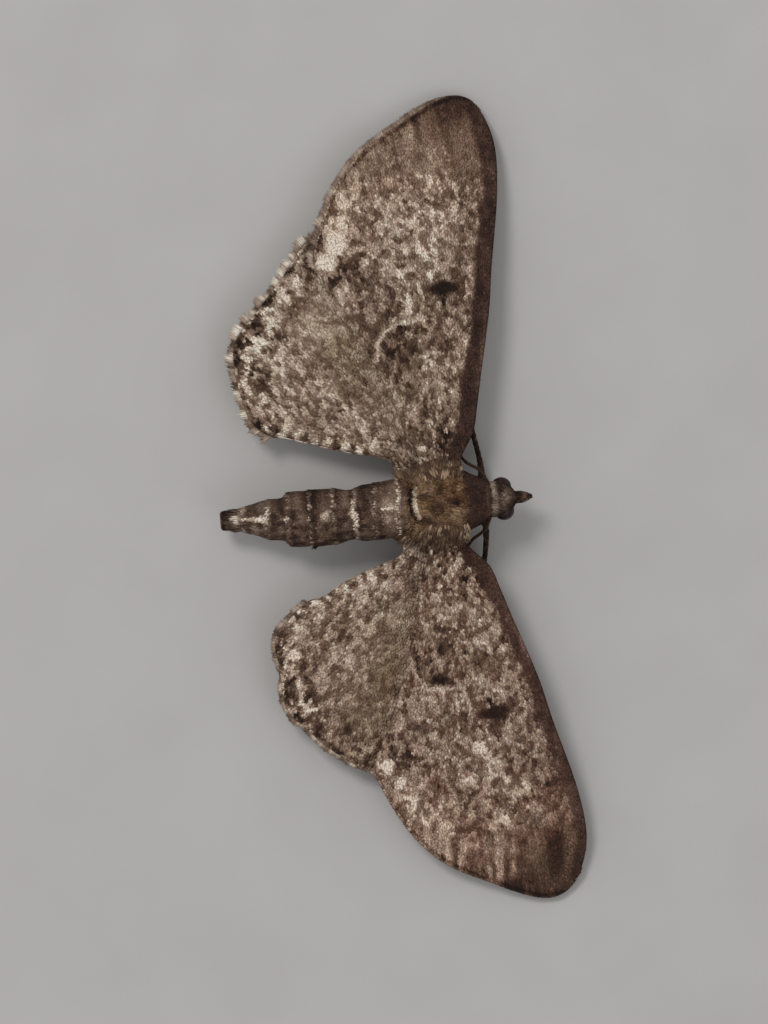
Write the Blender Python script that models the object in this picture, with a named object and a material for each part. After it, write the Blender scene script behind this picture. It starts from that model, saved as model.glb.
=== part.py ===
"""Pug moth at rest with its wings spread flat, life size: a still museum model.

Sizes are in millimetres and become metres through MM.  In the sizes below f runs forward along the
body and l to the moth's left; in the scene the head looks to -Y, the moth's left is +X and +Z is up.
The middle of the bounding box stands over the origin and the feet stand on Z = 0.
"""
import math

import bmesh
import bpy
from mathutils import Vector

MM = 0.001
GAP = 0.05                 # clearance between neighbouring pieces
CENTRE_L, CENTRE_F = 0.0623, -1.435    # middle of the bounding box, seen from above

# ---- wings ----
WING_THICK = 0.50
ARCH_TOP = 1.16            # height of the sheet between fore and hind wing beside the body
ARCH_FROM = 2.5            # the wings start to droop this far out
ARCH_DROOP = 0.0158        # droop per mm squared, outward
CHORD_DROOP = 0.012        # droop per mm squared, fore and aft
CHORD_MID = -0.5
CELL = 1.0                 # spacing of the cuts that let a wing follow the arch

FORE_ROOT = (0.468, 0.954)          # (f, l) of a forewing's hinge
FORE_LENGTH = 9.66                  # hinge to apex
FORE_SPREAD = {"left": 85.6, "right": 80.3}    # line hinge to apex, degrees behind straight ahead
COSTA_BOW = {"left": 1.0, "right": 1.22}       # forward bow of the leading edge
FRINGE = {"left": 0.20, "right": 0.05}         # scales that stand past the outer margin; the right ones are worn
FRINGE_FROM = 6.0                              # the fringe has its full length this many degrees behind the apex
# (share of the length, degrees behind the line hinge to apex)
COSTA = ((0.100, -22.0), (0.165, -16.6), (0.25, -13.3), (0.34, -11.9), (0.44, -10.7), (0.54, -9.3),
         (0.63, -8.7), (0.73, -8.1), (0.82, -7.2), (0.875, -6.3), (0.925, -4.9), (0.966, -3.2), (0.992, -1.4))
TERMEN = ((1.0, 0.6), (0.989, 3.0), (0.960, 6.6), (0.932, 10.0), (0.908, 13.6), (0.884, 17.2),
          (0.850, 21.0), (0.803, 25.2), (0.748, 29.6), (0.704, 33.2), (0.676, 35.6))
DORSUM = ((0.63, 36.4), (0.52, 36.6), (0.37, 39.9), (0.26, 46.5), (0.17, 60.0), (0.105, 90.0))
FORE_BASE = ((-0.60, 0.55), (0.42, 0.50), (0.50, 1.10))      # (f, l), inside the thorax and out again

HIND_ROOT = (-0.45, 0.90)
# (degrees behind straight ahead, distance from the hinge)
HIND = {
    "left": ((75.0, 0.55), (99.0, 2.3), (103.0, 4.7), (106.0, 6.3), (109.5, 6.85), (113.0, 6.88), (117.5, 6.66),
             (122.5, 6.42), (127.5, 6.30), (132.0, 6.22), (137.0, 6.20), (141.5, 6.16), (146.0, 5.92),
             (151.0, 5.55), (156.0, 5.18), (160.5, 4.86), (163.0, 4.40), (163.6, 3.70), (163.8, 2.80),
             (163.4, 1.80), (164.0, 0.90)),
    "right": ((75.0, 0.55), (97.0, 2.3), (101.0, 4.6), (103.5, 6.0), (107.0, 6.38), (112.0, 6.38), (117.0, 6.29),
              (122.5, 6.19), (128.5, 6.06), (133.0, 6.03), (136.5, 5.86), (141.0, 5.52), (145.0, 5.28),
              (149.5, 5.10), (152.8, 4.86), (155.0, 4.40), (157.2, 3.80), (157.2, 3.20), (158.8, 2.60),
              (159.2, 1.70), (159.8, 0.80)),
}
HIND_BASE = ((-1.12, 0.60), (-0.30, 0.55), (-0.20, 0.95))

# ---- body: rows of (f, half width, half height, height of the centre, sideways offset) ----
ABDOMEN = ((-0.96, 0.80, 0.68, 1.36, -0.01), (-1.25, 0.80, 0.70, 1.34, -0.03), (-1.62, 0.775, 0.69, 1.30, -0.06),
           (-2.12, 0.755, 0.66, 1.24, -0.09), (-2.30, 0.70, 0.63, 1.21, -0.10), (-2.52, 0.68, 0.61, 1.18, -0.11),
           (-2.85, 0.75, 0.62, 1.13, -0.115), (-3.52, 0.765, 0.60, 1.06, -0.12), (-4.10, 0.71, 0.55, 0.98, -0.10),
           (-4.22, 0.60, 0.50, 0.95, -0.09), (-4.66, 0.54, 0.45, 0.89, -0.06), (-4.90, 0.46, 0.39, 0.85, -0.04),
           (-5.24, 0.36, 0.31, 0.79, -0.02), (-5.60, 0.265, 0.24, 0.74, 0.0), (-5.87, 0.245, 0.20, 0.72, 0.0))
THORAX = ((1.12, 0.57, 0.53, 1.42, 0.0), (0.75, 0.75, 0.74, 1.50, 0.0), (0.40, 0.89, 0.88, 1.54, 0.0),
          (-0.10, 0.93, 0.90, 1.52, 0.0), (-0.62, 0.86, 0.80, 1.48, 0.0), (-0.91, 0.78, 0.68, 1.42, -0.01))
HEAD = ((1.85, 0.12, 0.18, 1.33, 0.0), (1.80, 0.24, 0.30, 1.33, 0.0), (1.68, 0.37, 0.42, 1.34, 0.0),
        (1.50, 0.47, 0.49, 1.36, 0.0), (1.32, 0.50, 0.50, 1.38, 0.0), (1.17, 0.50, 0.47, 1.40, 0.0))
PALPS = ((2.27, 0.035, 0.04, 1.19, 0.01), (2.14, 0.12, 0.12, 1.20, 0.005), (1.97, 0.18, 0.17, 1.21, 0.0),
         (1.70, 0.20, 0.20, 1.23, 0.0))
EYE = {"left": (1.485, 0.30, 1.30), "right": (1.515, -0.31, 1.30)}
EYE_RADIUS = 0.275
BODY_SIDES = 28

# ---- feelers and legs: (f, l, height of the centre) ----
ANTENNA_RADIUS = 0.235
ANTENNA = ((1.25, 0.20, 1.66), (1.14, 0.46, 1.46), (0.97, 0.78, 1.12), (0.60, 1.05, 0.88), (0.32, 1.55, 0.85),
           (0.22, 2.30, 0.85), (0.26, 3.10, 0.845), (0.36, 3.90, 0.83))
LEG_RADIUS = 0.25
FOOT_HEIGHT = 0.235        # a foot's centre line, lower than its radius, so that its sole is a small flat
LEGS = {
    "foreleg": ((0.55, 0.26, 0.62), (0.98, 0.60, 0.36), (1.00, 0.98, 0.29), (0.90, 1.60, 0.28), (0.80, 2.20, FOOT_HEIGHT),
                (0.72, 3.05, FOOT_HEIGHT)),
    "midleg": ((-0.05, 0.30, 0.50), (-0.15, 0.95, 0.30), (-0.42, 1.75, 0.28), (-0.80, 2.45, FOOT_HEIGHT),
               (-1.10, 3.35, FOOT_HEIGHT)),
    "hindleg": ((-0.52, 0.34, 0.50), (-0.86, 1.05, 0.30), (-1.55, 1.72, 0.28), (-2.50, 2.22, FOOT_HEIGHT),
                (-3.55, 2.55, FOOT_HEIGHT)),
}

COLOURS = {                 # base colour, roughness
    "forewing": ((0.155, 0.112, 0.082), 0.85),
    "hindwing": ((0.175, 0.132, 0.100), 0.85),
    "thorax": ((0.085, 0.052, 0.030), 0.95),
    "abdomen": ((0.075, 0.050, 0.038), 0.90),
    "head": ((0.080, 0.056, 0.048), 0.90),
    "palps": ((0.060, 0.042, 0.036), 0.90),
    "eye": ((0.030, 0.012, 0.010), 0.15),
    "antenna": ((0.070, 0.048, 0.038), 0.80),
    "leg": ((0.070, 0.048, 0.038), 0.80),
}


def place(f, l, z):
    """Scene position of a point given in the moth's own millimetres."""
    return Vector(((l - CENTRE_L) * MM, -(f - CENTRE_F) * MM, z * MM))


def spline(points, steps, closed=True):
    """Points of a smooth curve through the given ones, `steps` to each span."""
    n = len(points)
    out = []
    for i in range(n if closed else n - 1):
        quad = [points[(i + k) % n] if closed else points[min(max(i + k, 0), n - 1)] for k in (-1, 0, 1, 2)]
        t = [0.0]
        for a, b in zip(quad, quad[1:]):
            t.append(t[-1] + max(math.dist(a, b), 1e-6) ** 0.5)
        for s in range(steps):
            u = t[1] + (t[2] - t[1]) * s / steps
            a = [[((t[k + 1] - u) * p + (u - t[k]) * q) / (t[k + 1] - t[k]) for p, q in zip(quad[k], quad[k + 1])]
                 for k in range(3)]
            b = [[((t[k + 2] - u) * p + (u - t[k]) * q) / (t[k + 2] - t[k]) for p, q in zip(a[k], a[k + 1])]
                 for k in range(2)]
            out.append(tuple(((t[2] - u) * p + (u - t[1]) * q) / (t[2] - t[1]) for p, q in zip(b[0], b[1])))
    if not closed:
        out.append(tuple(points[-1]))
    return out


def polar(root, angle, radius):
    """(f, l) at an angle behind straight ahead and a distance from a hinge, on the left side."""
    a = math.radians(angle)
    return (root[0] + radius * math.cos(a), root[1] + radius * math.sin(a))


def fore_outline(side, steps=2):
    points = [polar(FORE_ROOT, FORE_SPREAD[side] + a * COSTA_BOW[side], r * FORE_LENGTH) for r, a in COSTA]
    points += [polar(FORE_ROOT, FORE_SPREAD[side] + a, r * FORE_LENGTH + FRINGE[side] * min(a / FRINGE_FROM, 1.0))
               for r, a in TERMEN]
    points += [polar(FORE_ROOT, FORE_SPREAD[side] + a, r * FORE_LENGTH) for r, a in DORSUM]
    return spline(points + list(FORE_BASE), steps)


def hind_outline(side, steps=2):
    return spline([polar(HIND_ROOT, a, r) for a, r in HIND[side]] + list(HIND_BASE), steps)


def arch(f, l):
    """Height of the sheet that parts the fore from the hind wings."""
    out = max(abs(l) - ARCH_FROM, 0.0)
    return ARCH_TOP - ARCH_DROOP * out ** 2 - CHORD_DROOP * (f - CHORD_MID) ** 2


def collection(name):
    found = bpy.data.collections.new(name)
    bpy.context.scene.collection.children.link(found)
    return found


def material(name, colour, roughness):
    mat = bpy.data.materials.new(name)
    mat.use_nodes = True
    mat.diffuse_color = (*colour, 1.0)
    shader = mat.node_tree.nodes["Principled BSDF"]
    shader.inputs["Base Color"].default_value = (*colour, 1.0)
    shader.inputs["Roughness"].default_value = roughness
    shader.inputs["Metallic"].default_value = 0.0
    return mat


def add_object(name, bm, origin, kind, smooth=True):
    """Puts a bmesh in scene coordinates into an object whose origin is the given point."""
    bmesh.ops.recalc_face_normals(bm, faces=bm.faces)
    bmesh.ops.translate(bm, verts=bm.verts, vec=-origin)
    mesh = bpy.data.meshes.new(name)
    bm.to_mesh(mesh)
    bm.free()
    mesh.shade_smooth() if smooth else mesh.shade_flat()
    obj = bpy.data.objects.new(name, mesh)
    obj.location = origin
    MOTH.objects.link(obj)
    obj.data.materials.append(MATERIALS[kind])
    return obj


def loft(name, rows, kind, rings):
    """A closed body through oval sections that change in size from row to row."""
    bm = bmesh.new()
    loops = []
    for f, w, h, z, c in spline(rows, rings, closed=False):
        loop = []
        for k in range(BODY_SIDES):
            a = 2.0 * math.pi * (k + 0.5) / BODY_SIDES
            loop.append(bm.verts.new(place(f, c + w * math.cos(a), z + h * math.sin(a))))
        loops.append(loop)
    for one, two in zip(loops, loops[1:]):
        for k in range(BODY_SIDES):
            m = (k + 1) % BODY_SIDES
            bm.faces.new((one[k], one[m], two[m], two[k]))
    bm.faces.new(loops[0])
    bm.faces.new(loops[-1])
    middle = rows[len(rows) // 2]
    return add_object(name, bm, place(middle[0], middle[4], middle[3]), kind)


def cutter(source, name, grow, centre):
    """A copy of a piece grown outward by a clearance, for a Boolean."""
    copy = bpy.data.objects.new(name, source.data.copy())
    copy.location = source.location
    CUTTERS.objects.link(copy)
    bm = bmesh.new()
    bm.from_mesh(copy.data)
    bm.normal_update()
    moves = [v.normal * grow for v in bm.verts]
    for v, move in zip(bm.verts, moves):
        v.co += move
    bm.to_mesh(copy.data)
    bm.free()
    copy.hide_render = True
    copy.display_type = "WIRE"
    return copy


def cut(obj, *tools):
    for tool in tools:
        mod = obj.modifiers.new("clear_of_" + tool.name, "BOOLEAN")
        mod.operation = "DIFFERENCE"
        mod.solver = "EXACT"
        mod.object = tool


def wing(name, outline, low, kind, side, root):
    """A slab of even thickness that follows the arch; its underside lies `low` above the arch."""
    sign = 1.0 if side == "left" else -1.0
    bm = bmesh.new()
    bm.faces.new([bm.verts.new((f, l, 0.0)) for f, l in outline])
    for axis, values in ((0, [p[0] for p in outline]), (1, [p[1] for p in outline])):
        step = math.ceil(min(values) / CELL + 0.01)
        while step * CELL < max(values) - 0.15:
            at, normal = [0.0, 0.0, 0.0], [0.0, 0.0, 0.0]
            at[axis], normal[axis] = step * CELL, 1.0
            bmesh.ops.bisect_plane(bm, geom=bm.verts[:] + bm.edges[:] + bm.faces[:], plane_co=at, plane_no=normal,
                                   dist=1e-4)
            step += 1
    bmesh.ops.remove_doubles(bm, verts=bm.verts, dist=1e-3)
    bmesh.ops.triangulate(bm, faces=bm.faces)
    lower = bmesh.ops.extrude_face_region(bm, geom=bm.faces[:])
    top = {v for v in lower["geom"] if isinstance(v, bmesh.types.BMVert)}
    for v in bm.verts:
        f, l = v.co.x, v.co.y
        v.co = place(f, sign * l, arch(f, l) + low + (WING_THICK if v in top else 0.0))
    return add_object(name, bm, place(root[0], sign * root[1], arch(*root) + low), kind)


def limb(name, path, radii, kind, flat):
    """A jointed tube along a path, as a mesh; below Z = 0 it is cut flat."""
    curve = bpy.data.curves.new(name, "CURVE")
    curve.dimensions = "3D"
    curve.bevel_depth = MM
    curve.bevel_resolution = 2
    curve.use_fill_caps = True
    curve.render_resolution_u = 0
    line = curve.splines.new("POLY")
    line.points.add(len(path) - 1)
    for point, at, radius in zip(line.points, path, radii):
        point.co = (*place(*at), 1.0)
        point.radius = radius
    holder = bpy.data.objects.new(name + "_line", curve)
    bpy.context.scene.collection.objects.link(holder)
    bpy.context.view_layer.update()
    mesh = bpy.data.meshes.new_from_object(holder.evaluated_get(bpy.context.evaluated_depsgraph_get()))
    bpy.data.objects.remove(holder, do_unlink=True)
    bm = bmesh.new()
    bm.from_mesh(mesh)
    bpy.data.meshes.remove(mesh)
    bmesh.ops.remove_doubles(bm, verts=bm.verts, dist=1e-6)
    if flat:
        bmesh.ops.bisect_plane(bm, geom=bm.verts[:] + bm.edges[:] + bm.faces[:], plane_co=(0.0, 0.0, 0.0),
                               plane_no=(0.0, 0.0, -1.0), clear_outer=True, dist=1e-7)
        edges = [e for e in bm.edges if e.is_boundary]
        if edges:
            bmesh.ops.holes_fill(bm, edges=edges)
    return add_object(name, bm, place(*path[0]), kind)


for old in list(bpy.data.objects):
    bpy.data.objects.remove(old, do_unlink=True)
MOTH = collection("pug_moth")
CUTTERS = collection("pug_moth_cutters")
MATERIALS = {name: material(name, *look) for name, look in COLOURS.items()}

thorax = loft("thorax", THORAX, "thorax", 2)
abdomen = loft("abdomen", ABDOMEN, "abdomen", 1)
head = loft("head", HEAD, "head", 2)
palps = loft("palps", PALPS, "palps", 2)

clear_thorax = cutter(thorax, "clear_thorax", GAP * MM, THORAX)
clear_abdomen = cutter(abdomen, "clear_abdomen", GAP * MM, ABDOMEN)
clear_head = cutter(head, "clear_head", GAP * MM, HEAD)

clear_eyes = []
for side, (f, l, z) in EYE.items():
    for name, radius, group in (("eye_" + side, EYE_RADIUS, MOTH), ("clear_eye_" + side, EYE_RADIUS + GAP * 0.7, CUTTERS)):
        bm = bmesh.new()
        bmesh.ops.create_uvsphere(bm, u_segments=18, v_segments=12, radius=radius * MM)
        mesh = bpy.data.meshes.new(name)
        bm.to_mesh(mesh)
        bm.free()
        mesh.shade_smooth()
        ball = bpy.data.objects.new(name, mesh)
        ball.location = place(f, l, z)
        group.objects.link(ball)
        if group is MOTH:
            ball.data.materials.append(MATERIALS["eye"])
        else:
            ball.hide_render = True
            ball.display_type = "WIRE"
            clear_eyes.append(ball)
cut(head, *clear_eyes)
cut(palps, clear_head, *clear_eyes)

for side, sign in (("left", 1.0), ("right", -1.0)):
    fore = wing("forewing_" + side, fore_outline(side), GAP / 2, "forewing", side, FORE_ROOT)
    hind = wing("hindwing_" + side, hind_outline(side), -GAP / 2 - WING_THICK, "hindwing", side, HIND_ROOT)
    cut(fore, clear_thorax, clear_abdomen)
    cut(hind, clear_thorax, clear_abdomen)

    path = spline([(f, sign * l, z) for f, l, z in ANTENNA], 2, closed=False)
    feeler = limb("antenna_" + side, path, [ANTENNA_RADIUS * (1.0 if k < len(path) - 1 else 0.8) for k in range(len(path))],
                  "antenna", False)
    cut(feeler, clear_head, clear_thorax, *clear_eyes)

    for kind, knots in LEGS.items():
        path = [(f, sign * l, z) for f, l, z in knots]
        leg = limb(kind + "_" + side, path, [LEG_RADIUS] * len(path), "leg", True)
        cut(leg, clear_thorax, clear_abdomen, clear_head)
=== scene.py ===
"""Looks of the pug moth: wings, skin, eyes, feelers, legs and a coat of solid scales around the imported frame.

Sizes are in millimetres and become metres through MM.  f runs forward along the body and l to the
moth's left, as in the part's own source; the head looks to -Y, the moth's left is +X and +Z is up.
The markings are named lines, bands and spots in wing coordinates that both sides share.
"""
import math

import bmesh
import bpy
import numpy as np
from mathutils import Matrix, Vector


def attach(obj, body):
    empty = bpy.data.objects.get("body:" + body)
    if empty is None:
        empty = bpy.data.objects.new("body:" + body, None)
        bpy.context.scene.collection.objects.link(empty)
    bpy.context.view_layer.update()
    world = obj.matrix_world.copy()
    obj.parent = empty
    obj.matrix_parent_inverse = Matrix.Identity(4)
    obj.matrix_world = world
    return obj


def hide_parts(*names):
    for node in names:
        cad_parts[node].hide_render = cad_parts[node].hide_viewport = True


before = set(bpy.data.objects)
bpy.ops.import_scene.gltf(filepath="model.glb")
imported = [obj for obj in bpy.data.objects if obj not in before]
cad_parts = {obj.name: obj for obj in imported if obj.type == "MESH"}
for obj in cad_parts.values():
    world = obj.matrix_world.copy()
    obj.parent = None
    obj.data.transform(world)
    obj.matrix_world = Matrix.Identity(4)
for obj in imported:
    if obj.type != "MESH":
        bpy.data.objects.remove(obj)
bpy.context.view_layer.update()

MM = 0.001
CENTRE_L, CENTRE_F = 0.0623, -1.435
SIDES = (("left", 1.0), ("right", -1.0))

# ---------------------------------------------------------------- shape, as in the solids
ARCH_TOP, ARCH_FROM, ARCH_DROOP = 1.16, 2.5, 0.0158
CHORD_DROOP, CHORD_MID = 0.012, -0.5
FORE_ROOT, FORE_LENGTH = (0.468, 0.954), 9.66
FORE_SPREAD = {"left": 85.6, "right": 80.3}
COSTA_BOW = {"left": 1.0, "right": 1.22}
FRINGE = {"left": 0.20, "right": 0.05}
FRINGE_FROM = 6.0
COSTA = ((0.100, -22.0), (0.165, -16.6), (0.25, -13.3), (0.34, -11.9), (0.44, -10.7), (0.54, -9.3),
         (0.63, -8.7), (0.73, -8.1), (0.82, -7.2), (0.875, -6.3), (0.925, -4.9), (0.966, -3.2), (0.992, -1.4))
TERMEN = ((1.0, 0.6), (0.989, 3.0), (0.960, 6.6), (0.932, 10.0), (0.908, 13.6), (0.884, 17.2),
          (0.850, 21.0), (0.803, 25.2), (0.748, 29.6), (0.704, 33.2), (0.676, 35.6))
DORSUM = ((0.63, 36.4), (0.52, 36.6), (0.37, 39.9), (0.26, 46.5), (0.17, 60.0), (0.105, 90.0))
FORE_BASE = ((-0.60, 0.55), (0.42, 0.50), (0.50, 1.10))
HIND_ROOT = (-0.45, 0.90)
HIND = {
    "left": ((75.0, 0.55), (99.0, 2.3), (103.0, 4.7), (106.0, 6.3), (109.5, 6.85), (113.0, 6.88), (117.5, 6.66),
             (122.5, 6.42), (127.5, 6.30), (132.0, 6.22), (137.0, 6.20), (141.5, 6.16), (146.0, 5.92),
             (151.0, 5.55), (156.0, 5.18), (160.5, 4.86), (163.0, 4.40), (163.6, 3.70), (163.8, 2.80),
             (163.4, 1.80), (164.0, 0.90)),
    "right": ((75.0, 0.55), (97.0, 2.3), (101.0, 4.6), (103.5, 6.0), (107.0, 6.38), (112.0, 6.38), (117.0, 6.29),
              (122.5, 6.19), (128.5, 6.06), (133.0, 6.03), (136.5, 5.86), (141.0, 5.52), (145.0, 5.28),
              (149.5, 5.10), (152.8, 4.86), (155.0, 4.40), (157.2, 3.80), (157.2, 3.20), (158.8, 2.60),
              (159.2, 1.70), (159.8, 0.80)),
}
HIND_BASE = ((-1.12, 0.60), (-0.30, 0.55), (-0.20, 0.95))
HIND_FRINGE = {"left": 0.24, "right": 0.20}

# rows of (f, half width, half height, height of the centre, sideways offset)
ABDOMEN = ((-0.96, 0.80, 0.68, 1.36, -0.01), (-1.25, 0.80, 0.70, 1.34, -0.03), (-1.62, 0.775, 0.69, 1.30, -0.06),
           (-2.12, 0.755, 0.66, 1.24, -0.09), (-2.30, 0.70, 0.63, 1.21, -0.10), (-2.52, 0.68, 0.61, 1.18, -0.11),
           (-2.85, 0.75, 0.62, 1.13, -0.115), (-3.52, 0.765, 0.60, 1.06, -0.12), (-4.10, 0.71, 0.55, 0.98, -0.10),
           (-4.22, 0.60, 0.50, 0.95, -0.09), (-4.66, 0.54, 0.45, 0.89, -0.06), (-4.90, 0.46, 0.39, 0.85, -0.04),
           (-5.24, 0.36, 0.31, 0.79, -0.02), (-5.60, 0.265, 0.24, 0.74, 0.0), (-5.87, 0.245, 0.20, 0.72, 0.0))
THORAX = ((1.12, 0.57, 0.53, 1.42, 0.0), (0.75, 0.75, 0.74, 1.50, 0.0), (0.40, 0.89, 0.88, 1.54, 0.0),
          (-0.10, 0.93, 0.90, 1.52, 0.0), (-0.62, 0.86, 0.80, 1.48, 0.0), (-0.91, 0.78, 0.68, 1.42, -0.01))
HEAD = ((1.85, 0.12, 0.18, 1.33, 0.0), (1.80, 0.24, 0.30, 1.33, 0.0), (1.68, 0.37, 0.42, 1.34, 0.0),
        (1.50, 0.47, 0.49, 1.36, 0.0), (1.32, 0.50, 0.50, 1.38, 0.0), (1.17, 0.50, 0.47, 1.40, 0.0))
EYE = {"left": (1.485, 0.30, 1.30), "right": (1.515, -0.31, 1.30)}
EYE_RADIUS = 0.265
SEGMENT_EDGES = (-0.86, -1.20, -1.81, -2.33, -2.90, -3.52, -4.08, -4.62, -5.24, -5.87)

# thin limbs inside the solids' tubes: (f, l, height of the centre)
ANTENNA = ((1.22, 0.16, 1.62), (1.14, 0.46, 1.42), (0.97, 0.78, 1.12), (0.60, 1.05, 0.92), (0.32, 1.55, 0.90),
           (0.22, 2.30, 0.89), (0.26, 3.10, 0.87), (0.36, 3.90, 0.84))
LEGS = {
    "foreleg": ((0.48, 0.14, 1.06), (0.56, 0.27, 0.74), (0.98, 0.60, 0.50), (1.00, 0.98, 0.42), (0.90, 1.60, 0.34), (0.80, 2.20, 0.085),
                (0.72, 3.05, 0.050)),
    "midleg": ((-0.02, 0.16, 1.02), (-0.06, 0.32, 0.66), (-0.15, 0.95, 0.42), (-0.42, 1.75, 0.34), (-0.80, 2.45, 0.085),
               (-1.10, 3.35, 0.050)),
    "hindleg": ((-0.46, 0.20, 1.02), (-0.54, 0.36, 0.66), (-0.86, 1.05, 0.42), (-1.55, 1.72, 0.34), (-2.50, 2.22, 0.085),
                (-3.55, 2.55, 0.050)),
}
LEG_WIDE, LEG_THIN = 0.078, 0.044      # radius of the thigh and of the foot, without scales

FORE_LIFT, HIND_DROP = 0.105, 0.125    # middle of a wing's membrane above or below the arch
MEMBRANE = 0.018                       # half its thickness

# ---------------------------------------------------------------- colours and markings
# shades of one scale, dark to cream, as display values
SHADES = ((0.00, (30, 18, 13)), (0.20, (69, 49, 37)), (0.40, (107, 85, 69)), (0.60, (147, 125, 108)),
          (0.80, (194, 174, 154)), (1.00, (244, 232, 213)))
TINTS = {"olive": (0.985, 1.005, 0.91), "warm": (1.03, 0.98, 0.95), "purple": (0.99, 0.94, 1.00),
         "grey": (0.96, 1.00, 1.04), "golden": (1.02, 0.975, 0.87),
         "red": (1.05, 0.955, 0.970)}
COAT_GAIN = 1.12                       # scales shade each other, so each is a little brighter than the whole
PAINTED_SIDE_LIGHT = {"left": 0.030, "right": -0.015}    # painted light and shade: the left wings a little paler and the right a little darker all over, as lit more from the moth's left

# lines across the forewing: share of its length at -10, 0, 10, 20, 30 and 40 degrees; width; change of shade
FORE_LINES = {
    "basal": ((0.13, 0.15, 0.155, 0.15, 0.15, 0.16), 0.011, -0.16),
    "subbasal_pale": ((0.20, 0.215, 0.22, 0.225, 0.235, 0.24), 0.010, 0.08),
    "antemedian_dark": ((0.27, 0.31, 0.350, 0.386, 0.398, 0.334), 0.012, -0.18),
    "antemedian_pale": ((0.30, 0.34, 0.385, 0.414, 0.426, 0.362), 0.009, 0.16),
    "medial": ((0.42, 0.46, 0.485, 0.49, 0.49, 0.46), 0.012, -0.10),
    "postmedian_dark": ((0.60, 0.655, 0.655, 0.600, 0.545, 0.50), 0.009, -0.12),
    "postmedian_pale": ((0.625, 0.685, 0.685, 0.630, 0.575, 0.53), 0.010, 0.17),
    "postmedian_outer": ((0.655, 0.715, 0.715, 0.660, 0.605, 0.56), 0.008, -0.12),
    "subterminal": ((0.86, 0.885, 0.850, 0.790, 0.690, 0.62), 0.008, 0.16),
}
# spots on the forewing: share of its length, degrees, half sizes, change of shade
FORE_SPOTS = {
    "discal_tail": (0.444, 5.9, 0.032, 1.1, -0.42),
    "discal_cream": (0.512, 8.6, 0.015, 1.5, 0.46),
    "discal_cream_outer": (0.558, 9.6, 0.034, 2.4, 0.26),
    "medial_cream": (0.545, 17.2, 0.014, 1.1, 0.40),
    "medial_loop": (0.464, 16.9, 0.022, 1.2, 0.34),
    "cell_cream": (0.590, 9.0, 0.060, 3.6, 0.16),
    "radial_pale": (0.768, 5.6, 0.027, 2.1, 0.48),
    "cubital_cream": (0.425, 16.8, 0.030, 2.6, 0.24),
    "basal_streak": (0.172, 19.6, 0.022, 2.4, 0.36),
    "anal_cream": (0.290, 18.0, 0.016, 3.0, 0.22),
    "anal_dark": (0.345, 27.0, 0.060, 7.0, -0.10),
    "hind_dark": (0.605, 33.5, 0.045, 3.6, -0.30),
    "hind_dark_inner": (0.600, 27.0, 0.026, 2.6, -0.24),
    "tornal_white": (0.684, 29.2, 0.033, 2.7, 0.75),
    "tornal_white_hind": (0.652, 33.4, 0.031, 2.3, 0.80),
    "tornal_cream": (0.730, 25.5, 0.020, 1.8, 0.20),
    "outer_pale": (0.775, 19.0, 0.060, 5.0, 0.10),
    "base_shade": (0.080, 10.0, 0.060, 40.0, -0.16),
    "discal_spot": (0.478, 5.1, 0.0205, 5.7, -0.90),
}
# the thin pale line that zigzags over the middle of the forewing: share of its length, degrees
ZIGZAG = ((0.500, 13.0), (0.462, 12.4), (0.406, 15.0), (0.414, 24.0), (0.412, 29.0), (0.396, 34.0), (0.360, 38.0),
          (0.378, 43.0))
SPOT_SIZE = {"left": 1.0, "right": 0.52}         # of the white marks at the hind corner
FORE_VEINS = (-6.5, -3.6, -0.4, 3.2, 7.2, 11.4, 15.8, 20.6, 25.8, 31.2)
COSTAL_BAND = (0.50, 0.40)             # its width in mm at the base and near the apex

# the right hindwing lies turned further under the forewing
HIND_TURN = {"left": 0.0, "right": -7.5}
# lines across the hindwing: distance from the outer margin in mm, width, change of shade
HIND_LINES = {
    "subterminal": (0.42, 0.07, 0.22),
    "subterminal_dark": (0.66, 0.09, -0.13),
    "postmedian_pale": (1.75, 0.12, 0.14),
    "postmedian_dark": (2.02, 0.10, -0.12),
    "median_pale": (2.75, 0.12, 0.10),
    "median_dark": (3.05, 0.12, -0.12),
}
# spots on the hindwing: distance from the hinge in mm, degrees, half sizes, change of shade
HIND_SPOTS = {
    "tornal_white": (4.62, 151.5, 0.17, 2.0, 0.70),
    "tornal_dark": (4.20, 149.5, 0.42, 2.2, -0.28),
    "margin_cream": (5.55, 139.5, 0.34, 2.6, 0.48),
    "margin_dark": (5.20, 145.5, 0.42, 2.8, -0.26),
    "radial_cream": (5.75, 120.0, 0.30, 2.6, 0.22),
    "cell_cream": (2.60, 137.0, 0.30, 3.6, 0.22),
    "base_cream": (1.95, 142.0, 0.20, 4.0, 0.10),
    "discal_spot": (2.75, 118.0, 0.14, 2.2, -0.28),
    "middle_shade": (3.90, 120.0, 1.10, 7.5, -0.06),
    "base_shade": (0.90, 140.0, 0.65, 30.0, -0.14),
}
HIND_VEINS = (106.0, 112.0, 118.5, 125.5, 132.5, 139.5, 146.5, 153.5, 160.0)
# pale marks down the middle of the back: place along it, half width, half length, change of shade
BACK_MARKS = ((-1.48, 0.050, 0.30, 0.34), (-2.42, 0.11, 0.13, 0.40), (-3.10, 0.17, 0.15, 0.46),
              (-4.12, 0.095, 0.095, 0.68), (-4.74, 0.150, 0.17, 0.72), (-5.08, 0.070, 0.26, 0.52),
              (-5.46, 0.15, 0.13, 0.55))
INNER_CHEQUER = 0.42                   # one dark and one cream patch along the inner margin, mm


def hashed(seed):
    return np.random.default_rng(seed).random((256, 256))


NOISE_TABLES = {k: hashed(9000 + k) for k in range(40)}


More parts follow.
